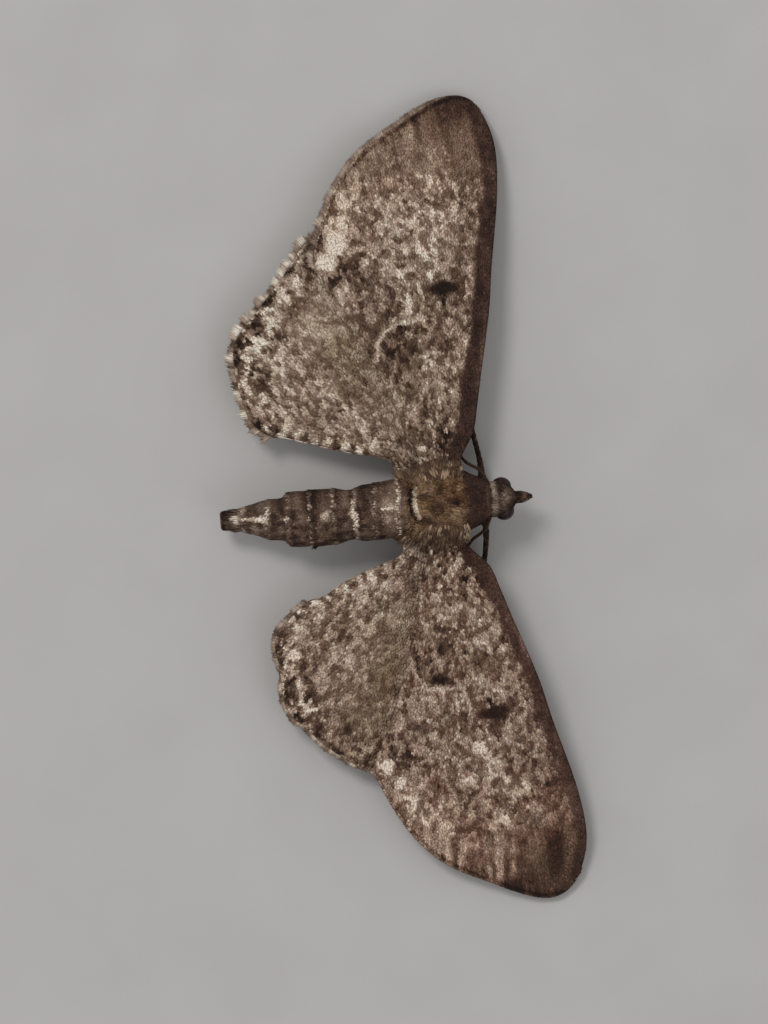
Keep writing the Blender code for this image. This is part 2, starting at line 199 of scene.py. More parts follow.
def noise(x, y, size, seed):
    """Smooth random values from -1 to 1 with bumps about `size` across."""
    table = NOISE_TABLES[seed]
    x, y = np.asarray(x) / size + 100.0, np.asarray(y) / size + 100.0
    i, j = np.floor(x).astype(int), np.floor(y).astype(int)
    u, v = x - i, y - j
    u, v = u * u * (3 - 2 * u), v * v * (3 - 2 * v)
    a, b = table[i & 255, j & 255], table[(i + 1) & 255, j & 255]
    c, d = table[i & 255, (j + 1) & 255], table[(i + 1) & 255, (j + 1) & 255]
    return 2.0 * ((a * (1 - u) + b * u) * (1 - v) + (c * (1 - u) + d * u) * v) - 1.0


def spot(u, v, cu, cv, su, sv):
    return np.exp(-(((u - cu) / su) ** 2 + ((v - cv) / sv) ** 2))


def step(x, low, high):
    t = np.clip((x - low) / (high - low), 0.0, 1.0)
    return t * t * (3 - 2 * t)


def fore_polar(f, l, side):
    df, dl = f - FORE_ROOT[0], np.abs(l) - FORE_ROOT[1]
    r = np.hypot(df, dl)
    phi = np.degrees(np.arctan2(dl, df)) - FORE_SPREAD[side]
    phi = np.where(phi < 0, phi / COSTA_BOW[side], phi)
    return r / FORE_LENGTH, phi, r


def hind_polar(f, l, side):
    df, dl = f - HIND_ROOT[0], np.abs(l) - HIND_ROOT[1]
    return np.hypot(df, dl), np.degrees(np.arctan2(dl, df))


def vermicule(f, l, size, seed, sign):
    """Thin wandering flecks, as the small lines of a pug's wing: 0 to 1."""
    w = noise(f, l, size, seed) + 0.45 * noise(f, l, size * 0.52, seed + 1)
    return np.exp(-((w - 0.12 * sign) / 0.17) ** 2)


def mosaic(a, b, seed):
    """Crisp flecks drawn out along a: -1 where dark, 1 where cream.  a runs outward, b across, in mm."""
    wa, wb = 0.09 * noise(a, b, 0.31, seed + 2), 0.06 * noise(b, a, 0.27, seed + 3)
    w = noise((a + wa) / 1.45, b + wb, 0.130, seed) + 0.75 * noise((a - wa) / 1.2, b + wb, 0.072, seed + 1)
    return np.tanh(3.4 * w)


def marked(tone, far, change, flecks):
    """Add one spot: a strong one sets its own shade, a weak one shifts what is there and is broken up by flecks."""
    if abs(change) >= 0.6:
        cover = np.exp(-far ** 3)
        return tone * (1 - cover) + cover * (0.02 if change < 0 else 0.98)
    return tone + change * np.exp(-far ** 1.4) * (0.75 + 0.35 * flecks * np.sign(change))


def near_line(u, v, knots):
    """Distance from the line through the knots."""
    best = np.full(np.shape(u), 1e9)
    for (ax, ay), (bx, by) in zip(knots, knots[1:]):
        dx, dy = bx - ax, by - ay
        t = np.clip(((u - ax) * dx + (v - ay) * dy) / (dx * dx + dy * dy), 0, 1)
        best = np.minimum(best, np.hypot(u - ax - t * dx, v - ay - t * dy))
    return best


def fore_marks(f, l, side):
    """Shade (0 dark to 1 cream) and weights of the tints on a forewing's upper side."""
    rho, phi, r = fore_polar(f, l, side)
    key = 0 if side == "left" else 4
    cost = np.interp(rho, [c[0] for c in COSTA], [c[1] for c in COSTA])
    costal = np.radians(phi - cost) * r * np.where(phi < 0, COSTA_BOW[side], 1.0)
    edge = np.interp(phi, [t[1] for t in TERMEN], [t[0] for t in TERMEN])
    outer = (edge - rho) * FORE_LENGTH * 0.8
    # painted light and shade: each forewing is made paler on the left and darker on the right all over
    tone = 0.52 + PAINTED_SIDE_LIGHT[side] + 0.0 * rho
    wander = 0.007 * np.sin(phi * 0.95) + 0.011 * noise(f, l, 0.55, 10 + key)
    for where, wide, change in FORE_LINES.values():
        at = np.interp(phi, (-10, 0, 10, 20, 30, 40), where)
        broken = 0.62 + 0.55 * noise(f, l, 0.45, 12 + key)
        tone = tone + change * np.exp(-((rho - at - wander) / wide) ** 2) * np.clip(broken, 0.1, 1.2)
    # fine flecks all over, drawn out into streaks along the veins towards the outer margin
    out = step(rho, 0.72, 0.92)
    a, b = r, np.radians(phi - 12.0) * r
    small = mosaic(a, b, 14 + key) * (1 - out) + out * mosaic(a / 2.4, b, 14 + key)
    lines = vermicule(f, l, 0.25, 18 + (key > 0), 1) - vermicule(l, f, 0.23, 20 + key, -1)
    tone = tone + (1 - 0.50 * out) * (0.160 * small + 0.175 * lines) + 0.06 * noise(f, l, 0.75, 24)
    stripes = np.tanh(2.2 * (noise(a * 0.16, b, 0.19, 22 + key) + 0.5 * noise(a * 0.3, b, 0.10, 23 + key)))
    tone = tone + out * ((0.15 if side == "left" else 0.20) * stripes - 0.03)
    root = 1 - step(rho, 0.09, 0.21)        # pale and dark streaks at the hinge
    tone = tone + root * 0.17 * np.tanh(3 * noise(r * 0.30, np.radians(phi) * 1.5, 0.10, 25 + (key > 0)))
    for vein in FORE_VEINS:
        near = np.exp(-(np.radians(phi - vein) * r / 0.045) ** 2) * step(rho, 0.55, 0.75)
        tone = tone - 0.13 * near * (0.55 + 0.6 * noise(a, b, 0.5, 26))
    for name, (cr, cp, sr, sp, change) in FORE_SPOTS.items():
        loose = 0.55 if abs(change) >= 0.6 else 1.0
        rag_r, rag_p = 0.010 * loose * noise(f, l, 0.22, 28), 1.1 * loose * noise(l, f, 0.22, 29)
        far = ((rho + rag_r - cr) / sr) ** 2 + ((phi + rag_p - cp) / sp) ** 2
        if name.startswith("tornal_white"):
            far = far / SPOT_SIZE[side] ** 2
        elif side == "right" and 0.1 < change < 0.6:
            change = change * 0.55
        tone = marked(tone, far, change, small)
    line_u, line_v = r * np.cos(np.radians(phi)), r * np.sin(np.radians(phi))
    knots = [(a * FORE_LENGTH * math.cos(math.radians(b)), a * FORE_LENGTH * math.sin(math.radians(b))) for a, b in ZIGZAG]
    wobble = 0.035 * noise(f, l, 0.16, 36)
    zigzag = np.exp(-((near_line(line_u + wobble, line_v - wobble, knots)) / 0.058) ** 4)
    zigzag = zigzag * (1.0 if side == "left" else 0.5) * np.clip(1.05 + 0.5 * noise(l, f, 0.3, 37), 0.5, 1.0)
    edging = np.exp(-((near_line(line_u + wobble + 0.10, line_v - wobble - 0.03, knots)) / 0.050) ** 2)
    tone = tone - (0.22 if side == "left" else 0.08) * edging
    tone = tone * (1 - zigzag) + zigzag * 0.92
    # broad shades: darker before the zigzag and towards the hind margin, paler beyond the middle
    broad = -0.13 * spot(rho, phi, 0.33, 30.0, 0.11, 13.0) - 0.05 * spot(rho, phi, 0.36, 8.0, 0.10, 5.0)
    broad = broad + 0.08 * step(rho, 0.50, 0.66) * (1 - step(rho, 0.90, 1.0))
    front = step(rho, 0.52, 0.70) * (1 - step(costal + 0.2 * noise(f, l, 0.5, 38), 0.60, 1.35))
    tone = tone + (broad if side == "left" else 0.35 * broad + 0.06 * spot(rho, phi, 0.20, 10.0, 0.06, 12.0))
    tone = tone - 0.14 * front
    reach = (0.60 * step(rho, 0.80, 0.89) if side == "left" else 0.0) + 1.3 * step(rho, 0.90, 0.99)
    tip = step(rho + 0.02 * noise(f, l, 0.5, 38), 0.76, 0.90) * (1 - step(costal + 0.25 * noise(f, l, 0.6, 39) - reach, 0.90, 1.60))
    tone = tone * (1 - 0.82 * tip) + 0.82 * tip * ((0.350 if side == "left" else 0.225) - 0.09 * step(rho, 0.90, 0.98) + (0.08 if side == "left" else 0.11) * stripes)
    band = np.interp(rho, (0.1, 0.9), COSTAL_BAND) * (1 + 0.20 * noise(f, l, 0.5, 30)) * (1.0 if side == "left" else 0.75)
    dark = 1 - step(costal, band * 0.80, band * 1.15)
    chop = 0.05 * noise(rho * FORE_LENGTH, 0 * rho, 0.34, 31)
    tone = tone * (1 - dark) + dark * (0.200 + chop + 0.05 * noise(f, l, 0.15, 32) + 0.05 * stripes)
    pink = spot(rho, costal, 0.31, 0.03, 0.075, 0.09)
    tone = tone + 0.26 * pink
    line = np.exp(-((outer - 0.05) / 0.040) ** 2)
    tone = tone - 0.24 * line
    warm = np.clip(0.8 * step(rho, 0.55, 0.9) + 0.25 * noise(f, l, 0.7, 33), 0, 1)
    olive = np.clip(0.8 - step(rho, 0.20, 0.60) + 0.8 * spot(rho, phi, 0.46, 12.5, 0.05, 3.0)
                    + 0.35 * noise(f, l, 0.6, 34), 0, 1)
    patchy = noise(f, l, 0.42, 35) + 0.6 * noise(l, f, 0.20, 36)
    red = (0.06 + 0.22 * patchy if side == "left" else 0.60 + 0.50 * patchy - 0.45 * tip) + 0.10 * tip
    tone = tone + (0.0 if side == "left" else 0.042) * (1 - tip)
    return tone, {"warm": warm * (1 - dark), "olive": olive * 0.36 * (1 - dark) * (1 - step(tone, 0.65, 0.85)),
                  "purple": np.clip(dark * (1 - 0.8 * tip) + 0.6 * pink, 0, 1), "red": np.clip(red, -0.4, 1.3) * (1 - 0.6 * dark) * (1 - (0.0 if side == "left" else 0.60) * step(tone, 0.42, 0.62))}


def hind_edge(phi, side):
    rows = [(a, r) for a, r in HIND[side]]
    return np.interp(phi, [a for a, _ in rows[:17]], [r for _, r in rows[:17]])


def hind_marks(f, l, side):
    r, phi = hind_polar(f, l, side)
    turned = phi - HIND_TURN[side] * step(phi, 100.0, 120.0)
    key = 0 if side == "left" else 4
    outer = (hind_edge(phi, side) - r) * 0.94 - HIND_FRINGE[side]
    last = HIND[side][16][0]
    inner = np.radians(last - phi) * r
    # painted light and shade: each hindwing is made paler on the left and darker on the right all over
    tone = 0.545 + PAINTED_SIDE_LIGHT[side] + 0.0 * r
    tone = tone + (0.05 if side == "left" else 0.075)
    wander = 0.10 * np.sin(turned * 0.85) + 0.12 * noise(f, l, 0.5, 11 + key)
    for at, wide, change in HIND_LINES.values():
        broken = np.clip(0.55 + 0.65 * noise(f, l, 0.42, 13 + key), 0.05, 1.2)
        tone = tone + change * np.exp(-((outer - at - wander) / wide) ** 2) * broken
    rough = step(turned, 124.0, 140.0)
    along, across = r, np.radians(phi - 130.0) * r
    small = mosaic(along, across, 24 + key)
    margin = 1 - step(outer, 0.35, 1.1)
    lines = vermicule(f, l, 0.25, 15 + key, 1) - vermicule(l, f, 0.23, 17 + key, -1)
    tone = tone + (-0.07 * margin - 0.10 * spot(r, turned, 2.35, 131.0, 0.85, 17.0) if side == "left" else -0.06 * margin)
    calm = spot(turned, r, 119, 3.8, 11, 1.7) * (0.3 if side == "left" else 1.0)     # a smoother olive band
    tone = tone - 0.030 * calm - (0.0 if side == "left" else 0.10) * spot(r, turned, 5.35, 125.0, 0.75, 6.5)
    strength = 0.62 + 0.38 * rough + 0.30 * margin - 0.22 * calm
    tone = tone + strength * (0.165 * small + 0.150 * lines) + 0.06 * noise(f, l, 0.8, 21)
    # larger cream and dark patches along the margin, strongest on the less worn left wing
    patches = np.tanh(3.0 * noise(along / 1.3, across, 0.26, 29 + key))
    tone = tone + (0.28 if side == "left" else 0.06) * margin * step(turned, 104.0, 112.0) * patches
    for vein in HIND_VEINS:
        near = np.exp(-(np.radians(turned - vein) * r / 0.05) ** 2) * step(outer, -0.1, 0.05) * (1 - step(outer, 0.5, 0.9))
        tone = tone - 0.16 * near
    for name, (cr, cp, sr, sp, change) in HIND_SPOTS.items():
        rag = 0.10 * noise(f, l, 0.22, 28)
        if side == "right" and -0.6 < change < 0.6:        # the worn right wing shows them weakly
            change = change * (0.55 if change > 0.1 else 0.25 if change < -0.2 else 1.0)
        tone = marked(tone, ((r + rag - cr) / sr) ** 2 + ((turned + 8 * rag - cp) / sp) ** 2, change, small)
    chequer = np.tanh(2.5 * np.sin(2 * math.pi * (r + 0.12 * noise(f, l, 0.3, 29)) / INNER_CHEQUER))
    near = (1 - step(inner, 0.12, 0.42)) * step(r, 1.2, 1.8)
    tone = tone + near * (0.24 * chequer + 0.03)
    tone = tone - 0.28 * np.exp(-((outer - 0.03) / 0.045) ** 2)
    olive = np.clip(spot(turned, r, 119, 3.8, 11, 1.7) + 0.5 * spot(turned, r, 137, 2.6, 8, 0.6)
                    + 0.25 * noise(f, l, 0.6, 34), 0, 1)
    warm = np.clip(0.30 + 0.45 * noise(f, l, 0.8, 35), 0, 1)
    red = 0.14 * noise(f, l, 0.45, 36) + (0.0 if side == "left" else 0.12)
    return tone, {"olive": olive * (0.7 if side == "left" else 1.0) * (1 - step(tone, 0.65, 0.85)), "warm": warm * 0.35 * (1 - olive), "red": red}


def under_marks(f, l, side, hind):
    """The underside is paler and plainer, with the same spots and lines faintly showing."""
    tone, tints = (hind_marks if hind else fore_marks)(f, l, side)
    return 0.52 + 0.42 * (tone - 0.56), {"grey": 0.4 + 0.0 * tone}


def body_marks(f, l, z, up):
    """Shade of thorax, abdomen and head. `up` is 1 on the back and -1 underneath."""
    up = np.asarray(up)
    ax = l + 0.10 * step(-f, 0.9, 2.6) - 0.10 * step(-f, 4.2, 5.4)     # follows the bow of the abdomen
    grain = 0.05 * np.tanh(2 * noise(f, l + z, 0.10, 5)) + 0.03 * noise(f, z - l, 0.3, 6)
    # thorax: golden brown, mottled, darker in the middle, with a few pale flecks
    thorax = 0.350 + 0.14 * np.tanh(2.5 * noise(f, l, 0.20, 7)) + 0.08 * np.tanh(2.5 * noise(l, f, 0.10, 8))
    thorax = thorax - 0.10 * spot(f, l, -0.1, 0.0, 0.5, 0.22)
    thorax = thorax + 0.32 * spot(f, l, 0.08, 0.02, 0.09, 0.10) + 0.10 * spot(f, np.abs(l), -0.20, 0.66, 0.30, 0.16)
    thorax = thorax + 0.26 * spot(f, l, 0.49, 0.32, 0.06, 0.10) + 0.10 * spot(f, np.abs(l), 0.50, 0.36, 0.07, 0.20)
    collar = 0.165 + 0.04 * noise(f, l, 0.2, 8)
    bow = f - 0.50 * (l - 0.10) ** 2                          # a cream crest bowed towards the tail, a black groove behind it
    crescent = np.exp(-(((bow + 0.62) / 0.060) ** 2 + ((l - 0.06) / 0.38) ** 2) ** 2)
    groove = np.exp(-((bow + 0.840) / 0.060) ** 4 - ((l - 0.06) / 0.42) ** 4)
    thorax = thorax + 0.16 * spot(bow, l, -0.50, 0.0, 0.12, 0.30) - 0.70 * groove
    thorax = thorax * (1 - 0.6 * crescent * (up > 0)) + 0.6 * crescent * (up > 0) * 0.80
    thorax = thorax + 0.34 * spot(f, np.abs(l), -0.66, 0.62, 0.07, 0.08) * (up > 0)
    # abdomen: dark segments with pale hind edges and a row of pale marks down the back
    belly = 0.300 + 0.09 * np.tanh(2.5 * noise(f, l + z, 0.17, 11)) + 0.06 * np.tanh(2.5 * noise(l + z, f, 0.09, 12))
    belly = belly + 0.30 * spot(f, ax, -1.32, 0.0, 0.46, 0.75) + 0.03 * step(-f, 4.5, 4.9) - 0.06 * spot(f, ax, -1.98, 0.0, 0.24, 1.0)
    belly = belly + 0.10 * spot(f, ax, -2.75, 0.30, 0.36, 0.34) + 0.12 * spot(f, np.abs(ax), -4.85, 0.30, 0.42, 0.16)
    for k, at in enumerate(SEGMENT_EDGES[:-1]):
        strong = (0.05, 0.42, 0.34, 0.70, 0.36, 0.44, 0.26, 0.52, 0.34)[k]
        wide = (0.035, 0.040, 0.034, 0.065, 0.040, 0.034, 0.030, 0.040, 0.04)[k]
        wob = 0.04 * noise(l * 1.3, z, 0.22, 9)
        broken = np.clip((1.0 if k == 3 else 0.70) + 0.9 * noise(l, f, 0.16, 10), 0, 1.15)
        belly = belly + strong * np.exp(-np.abs((f - at - 0.03 + wob) / wide) ** 3) * broken
        belly = belly - 0.10 * np.exp(-((f - at - 0.135) / 0.060) ** 2)
    for at, half, far, strong in BACK_MARKS:
        narrow = half * (0.35 + 0.65 * step(f, at - far * 1.6, at + far))      # a wedge, its point behind
        belly = belly + strong * np.exp(-((ax / narrow) ** 2 + ((f - at) / far) ** 2) ** 2) * (up > 0)
    # painted shade: the flanks of the abdomen are darkened where they turn down away from the light
    belly = belly - 0.12 * step(np.abs(ax), 0.54, 0.70) * (up > -0.3)
    belly = belly + 0.16 * step(-up, 0.2, 0.8)
    # head: a thin yellowish line behind, pale grey crown, darker face
    head = 0.27 + 0.06 * np.tanh(2.5 * noise(f, l, 0.10, 7))
    head = head + 0.42 * np.exp(-((f - 1.335 - 0.03 * np.cos(7 * l)) / 0.075) ** 4) * (0.75 + 0.5 * l)     # pale band behind
    head = head + 0.24 * np.exp(-((np.abs(f - 1.60) / 0.16 + np.abs(l) / 0.24) ** 3))                      # diamond crown
    head = head - 0.10 * spot(f, l, 1.455, 0.0, 0.035, 0.20) - 0.12 * spot(f, l, 1.20, 0.0, 0.030, 0.5)
    head = head - 0.06 * spot(f, l, 1.80, 0.0, 0.06, 0.5) - 0.16 * step(-up, -0.70, -0.30) - 0.06 * step(np.abs(l), 0.17, 0.25) * step(f, 1.40, 1.48)
    palps = 0.14 + 0.16 * spot(ax, f, 0.0, 1.84, 0.07, 0.09) * (up > 0) + 0.52 * spot(ax, f, 0.0, 2.05, 0.045, 0.08) * (up > 0) + 0.14 * spot(ax, f, 0.0, 1.92, 0.05, 0.14)
    arc = f + 0.36 * np.minimum(np.abs(l), 1.0) ** 2          # the thorax ends in a rounded front edge
    a, b, c, d = (step(f, -0.98, -0.92), step(arc, 0.66, 0.74), step(f, 1.15, 1.21), step(f, 1.80, 1.88))
    tone = belly * (1 - a) + thorax * a * (1 - b) + collar * b * (1 - c) + head * c * (1 - d) + palps * d + grain
    tone = tone + 0.14 * spot(f, l, 1.15, 0.0, 0.030, 0.5) * (up > 0)
    zero = 0.0 * tone
    return tone, {"golden": a * (1 - b) * (1.55 + 0.9 * noise(f, l, 0.28, 37)),
                  "red": a * (1 - b) * (0.10 + 0.55 * noise(l, f, 0.30, 38)) + 0.25 * (1 - a) * noise(f, l, 0.30, 39), "warm": zero + 0.10 * (1 - a) + 0.3 * b * (1 - c),
                  "purple": zero + 0.9 * b * (1 - c) + 0.15 * (1 - a), "grey": (1.35 * c + (1 - a) * (0.46 + 0.60 * step(-f, 3.8, 5.0))) * (1 - step(tone, 0.50, 0.75))}


def colours(tone, tints, gain=1.0):
    """Linear colours from shades and tints."""
    tone = np.clip(tone, 0.0, 1.0)
    shown = np.stack([np.interp(tone, [s for s, _ in SHADES], [c[k] for _, c in SHADES]) for k in range(3)], -1) / 255.0
    linear = np.where(shown <= 0.04045, shown / 12.92, ((shown + 0.055) / 1.055) ** 2.4)
    for name, weight in tints.items():
        linear = linear * (1 + weight[:, None] * (np.array(TINTS[name]) ** 1.6 - 1))
    linear = np.maximum(linear * gain, 0.0)
    return linear * np.minimum(1.0, 0.92 / np.maximum(linear.max(-1, keepdims=True), 1e-6))


# ---------------------------------------------------------------- geometry helpers
def scene_points(f, l, z):
    return np.stack([np.asarray(l) - CENTRE_L, -(np.asarray(f) - CENTRE_F), np.asarray(z) + 0.0 * np.asarray(f)], -1) * MM


def scene_dirs(df, dl, dz):
    d = np.stack([dl, -df, dz], -1)
    return d / np.maximum(np.linalg.norm(d, axis=-1, keepdims=True), 1e-12)


def spline(points, steps, closed=True):
    """Points of a smooth curve through the given ones, `steps` to each span."""
    n = len(points)
    out = []
    for i in range(n if closed else n - 1):
        quad = [points[(i + k) % n] if closed else points[min(max(i + k, 0), n - 1)] for k in (-1, 0, 1, 2)]
        t = [0.0]
        for a, b in zip(quad, quad[1:]):
            t.append(t[-1] + max(math.dist(a, b), 1e-6) ** 0.5)
        for s in range(steps):
            u = t[1] + (t[2] - t[1]) * s / steps
            a = [[((t[k + 1] - u) * p + (u - t[k]) * q) / (t[k + 1] - t[k]) for p, q in zip(quad[k], quad[k + 1])]
                 for k in range(3)]
            b = [[((t[k + 2] - u) * p + (u - t[k]) * q) / (t[k + 2] - t[k]) for p, q in zip(a[k], a[k + 1])]
                 for k in range(2)]
            out.append(tuple(((t[2] - u) * p + (u - t[1]) * q) / (t[2] - t[1]) for p, q in zip(b[0], b[1])))
    if not closed:
        out.append(tuple(points[-1]))
    return out


def polar(root, angle, radius):
    a = math.radians(angle)
    return (root[0] + radius * math.cos(a), root[1] + radius * math.sin(a))


def fore_outline(side, steps, inset=0.0):
    """Edge of the forewing's membrane; the fringe stands past it."""
    points = [polar(FORE_ROOT, FORE_SPREAD[side] + a * COSTA_BOW[side], r * FORE_LENGTH - 0.02) for r, a in COSTA]
    points += [polar(FORE_ROOT, FORE_SPREAD[side] + a, r * FORE_LENGTH - 0.02 - (inset - 0.02) * min(a / FRINGE_FROM, 1.0))
               for r, a in TERMEN]
    points += [polar(FORE_ROOT, FORE_SPREAD[side] + a, r * FORE_LENGTH - 0.03) for r, a in DORSUM]
    return spline(points + list(FORE_BASE), steps)


def hind_outline(side, steps, inset=0.0):
    rows = HIND[side]
    points = []
    for k, (a, r) in enumerate(rows):
        at = inset if 3 <= k <= 16 else 0.0
        points.append(polar(HIND_ROOT, a - (1.2 if k > 16 else 0.0), r - at))
    return spline(points + list(HIND_BASE), steps)


def arch(f, l):
    out = np.maximum(np.abs(l) - ARCH_FROM, 0.0)
    return ARCH_TOP - ARCH_DROOP * out ** 2 - CHORD_DROOP * (f - CHORD_MID) ** 2


def wing_height(f, l, side, hind):
    """Height of the middle of a wing's membrane, with its veins and folds."""
    f, l = np.asarray(f, float), np.asarray(l, float)
    if hind:
        r, phi = hind_polar(f, l, side)
        veins, reach = HIND_VEINS, step(r, 0.8, 2.0)
        base = arch(f, l) - HIND_DROP
    else:
        rho, phi, r = fore_polar(f, l, side)
        veins, reach = FORE_VEINS, step(r, 0.8, 2.4)
        base = arch(f, l) + FORE_LIFT
    ridge = np.zeros_like(r)
    for k, vein in enumerate(veins):
        off = np.radians(phi - vein) * r
        ridge = ridge + (0.016 if k % 2 else 0.026) * np.exp(-(off / 0.11) ** 2)
    return base + reach * (ridge - 0.010) + 0.012 * noise(f, l, 1.1, 36)


def inside(f, l, outline):
    """Which points lie inside a closed outline."""
    poly = np.array(outline)
    hit = np.zeros(f.shape, bool)
    for (f0, l0), (f1, l1) in zip(poly, np.roll(poly, -1, axis=0)):
        if abs(l1 - l0) < 1e-12:
            continue
        cross = ((l0 > l) != (l1 > l)) & (f < (f1 - f0) * (l - l0) / (l1 - l0) + f0)
        hit ^= cross
    return hit


def away_from(f, l, outline):
    """Distance from each point to a closed outline."""
    best = np.full(f.shape, 1e9)
    poly = np.array(outline)
    for a, b in zip(poly, np.roll(poly, -1, axis=0)):
        d = b - a
        t = np.clip(((f - a[0]) * d[0] + (l - a[1]) * d[1]) / max(d @ d, 1e-12), 0, 1)
        best = np.minimum(best, np.hypot(f - a[0] - t * d[0], l - a[1] - t * d[1]))
    return best


def edge_direction(f, l, outline):
    """Distance to a closed outline and the direction in which its nearest stretch runs."""
    best, tf, tl = np.full(f.shape, 1e9), np.zeros(f.shape), np.zeros(f.shape)
    poly = np.array(outline)
    for a, b in zip(poly, np.roll(poly, -1, axis=0)):
        d = b - a
        size = math.hypot(*d)
        if size < 1e-9:
            continue
        t = np.clip(((f - a[0]) * d[0] + (l - a[1]) * d[1]) / size ** 2, 0, 1)
        far = np.hypot(f - a[0] - t * d[0], l - a[1] - t * d[1])
        near = far < best
        best = np.where(near, far, best)
        tf, tl = np.where(near, d[0] / size, tf), np.where(near, d[1] / size, tl)
    return best, tf, tl


def new_mesh(name, verts, tris):
    mesh = bpy.data.meshes.new(name)
    mesh.vertices.add(len(verts))
    mesh.vertices.foreach_set("co", np.ascontiguousarray(verts, np.float32).ravel())
    mesh.loops.add(tris.size)
    mesh.loops.foreach_set("vertex_index", np.ascontiguousarray(tris, np.int32).ravel())
    mesh.polygons.add(len(tris))
    mesh.polygons.foreach_set("loop_start", np.arange(0, tris.size, 3, dtype=np.int32))
    mesh.update(calc_edges=True)
    return mesh


def paint(mesh, rgb):
    attribute = mesh.color_attributes.new(name="Coat", type="FLOAT_COLOR", domain="POINT")
    rgba = np.ones((len(rgb), 4), np.float32)
    rgba[:, :3] = rgb
    attribute.data.foreach_set("color", rgba.ravel())
    return mesh


def add_piece(name, mesh, kind, slot, *nodes):
    obj = bpy.data.objects.new(name, mesh)
    bpy.context.scene.collection.objects.link(obj)
    mesh.materials.clear()
    mesh.materials.append(MATERIALS[kind])
    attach(obj, "root")
    if nodes:
        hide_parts(*nodes)
    return obj


# one scale: a thin closed lens on a shield-shaped outline; x runs from root to tip, y across
RING = np.array(((0.0, 0.0), (0.34, 0.45), (0.90, 0.43), (1.0, 0.0), (0.90, -0.43), (0.34, -0.45)))
RING_HAIR = np.array(((0.0, 0.0), (0.30, 0.46), (0.78, 0.34), (1.0, 0.0), (0.78, -0.34), (0.30, -0.46)))
SCALE_TRIS = np.array([(6, k, (k + 1) % 6) for k in range(6)] + [(7, (k + 1) % 6, k) for k in range(6)])
BODY_THICK = 0.028                     # half thickness as a share of the width at the middle
UV_PATCH = 0.003


def scales(name, root, along, up, length, width, rgb, uv, kind, slot, seed, pitch=7.0, spread=7.0, hair=False,
           bend=0.10, camber=0.12, tilt=3.0, nodes=()):
    """Many scales as one mesh. Roots and directions are in scene axes; lengths are in mm, angles in degrees."""
    rng = np.random.default_rng(seed)
    n = len(root)
    across = np.cross(up, along)
    across /= np.maximum(np.linalg.norm(across, axis=1, keepdims=True), 1e-9)
    up = np.cross(along, across)
    yaw = np.radians(rng.normal(0, spread, n))[:, None]
    tip = np.radians(np.clip(pitch + rng.normal(0, 0.35, n) * np.maximum(pitch, 3.0), 1.0, 75.0))[:, None]
    roll = np.radians(rng.normal(0, tilt, n))[:, None]
    a = along * np.cos(yaw) + across * np.sin(yaw)
    b = np.cross(up, a)
    d = a * np.cos(tip) + up * np.sin(tip)
    u = np.cross(d, b)
    b, u = b * np.cos(roll) + u * np.sin(roll), u * np.cos(roll) - b * np.sin(roll)
    ring = RING_HAIR if hair else RING
    x = np.concatenate([ring[:, 0], (0.55, 0.55)])
    y = np.concatenate([ring[:, 1], (0.0, 0.0)])
    length, width = np.broadcast_to(length, n), np.broadcast_to(width, n)
    thick = np.maximum(width * BODY_THICK, 0.0012)
    lens = np.concatenate([np.zeros(6), (1.0, -1.0)])
    z = lens[None, :] * thick[:, None] - (y[None, :] ** 2) * width[:, None] * camber \
        - bend * length[:, None] * (x[None, :] ** 2) + 0.25 * bend * length[:, None] * x[None, :]
    verts = root[:, None, :] + MM * (d[:, None, :] * (x[None, :, None] * length[:, None, None])
                                     + b[:, None, :] * (y[None, :, None] * width[:, None, None])
                                     + u[:, None, :] * z[:, :, None])
    verts[..., 2] = np.maximum(verts[..., 2], 0.002 * MM)
    tris = (SCALE_TRIS[None] + 8 * np.arange(n)[:, None, None]).reshape(-1, 3)
    mesh = new_mesh(name, verts.reshape(-1, 3), tris)
    # painted shade: the root end of every scale is darkened, as if shadowed by the scale lying over it
    shade = np.where(x < 0.2, 0.86, 1.0)
    paint(mesh, (rgb[:, None, :] * shade[None, :, None]).reshape(-1, 3))
    layer = mesh.uv_layers.new(name="OFBake")
    patch = np.stack([x - 0.5, y], -1) * UV_PATCH
    spots = np.clip(uv, 0.006, 0.994)[:, None, :] + patch[None]
    layer.data.foreach_set("uv", np.ascontiguousarray(spots.reshape(-1, 2)[tris.ravel()], np.float32).ravel())
    return add_piece(name, mesh, kind, slot, *nodes)


def speckle(rng, n, dark, pale, size, even=0.022):
    """Change of shade from scale to scale: most are alike, some dark, some cream."""
    pick = rng.random(n)
    out = rng.normal(0, even, n)
    out = np.where(pick < dark, out - size, out)
    return np.where(pick > 1 - pale, out + size, out)


def hex_roots(outline, spacing, rng):
    """Roots on a jittered honeycomb inside an outline."""
    pts = np.array(outline)
    low, high = pts.min(0), pts.max(0)
    rows = np.arange(low[0], high[0], spacing * 0.866)
    cols = np.arange(low[1], high[1], spacing)
    f, l = np.meshgrid(rows, cols, indexing="ij")
    l = l + (np.arange(len(rows)) % 2)[:, None] * spacing / 2
    f, l = f.ravel(), l.ravel()
    f = f + rng.normal(0, 0.26, f.size) * spacing
    l = l + rng.normal(0, 0.26, l.size) * spacing
    keep = inside(f, l, outline)
    return f[keep], l[keep]


# ---------------------------------------------------------------- materials
def nodes_of(name):
    mat = bpy.data.materials.new(name)
    mat.use_nodes = True
    tree = mat.node_tree
    return mat, tree, tree.nodes["Principled BSDF"]


def add_node(tree, kind, **values):
    node = tree.nodes.new(kind)
    for key, value in values.items():
        if hasattr(node, key):
            setattr(node, key, value)
        else:
            node.inputs[key.replace("_", " ")].default_value = value
    return node


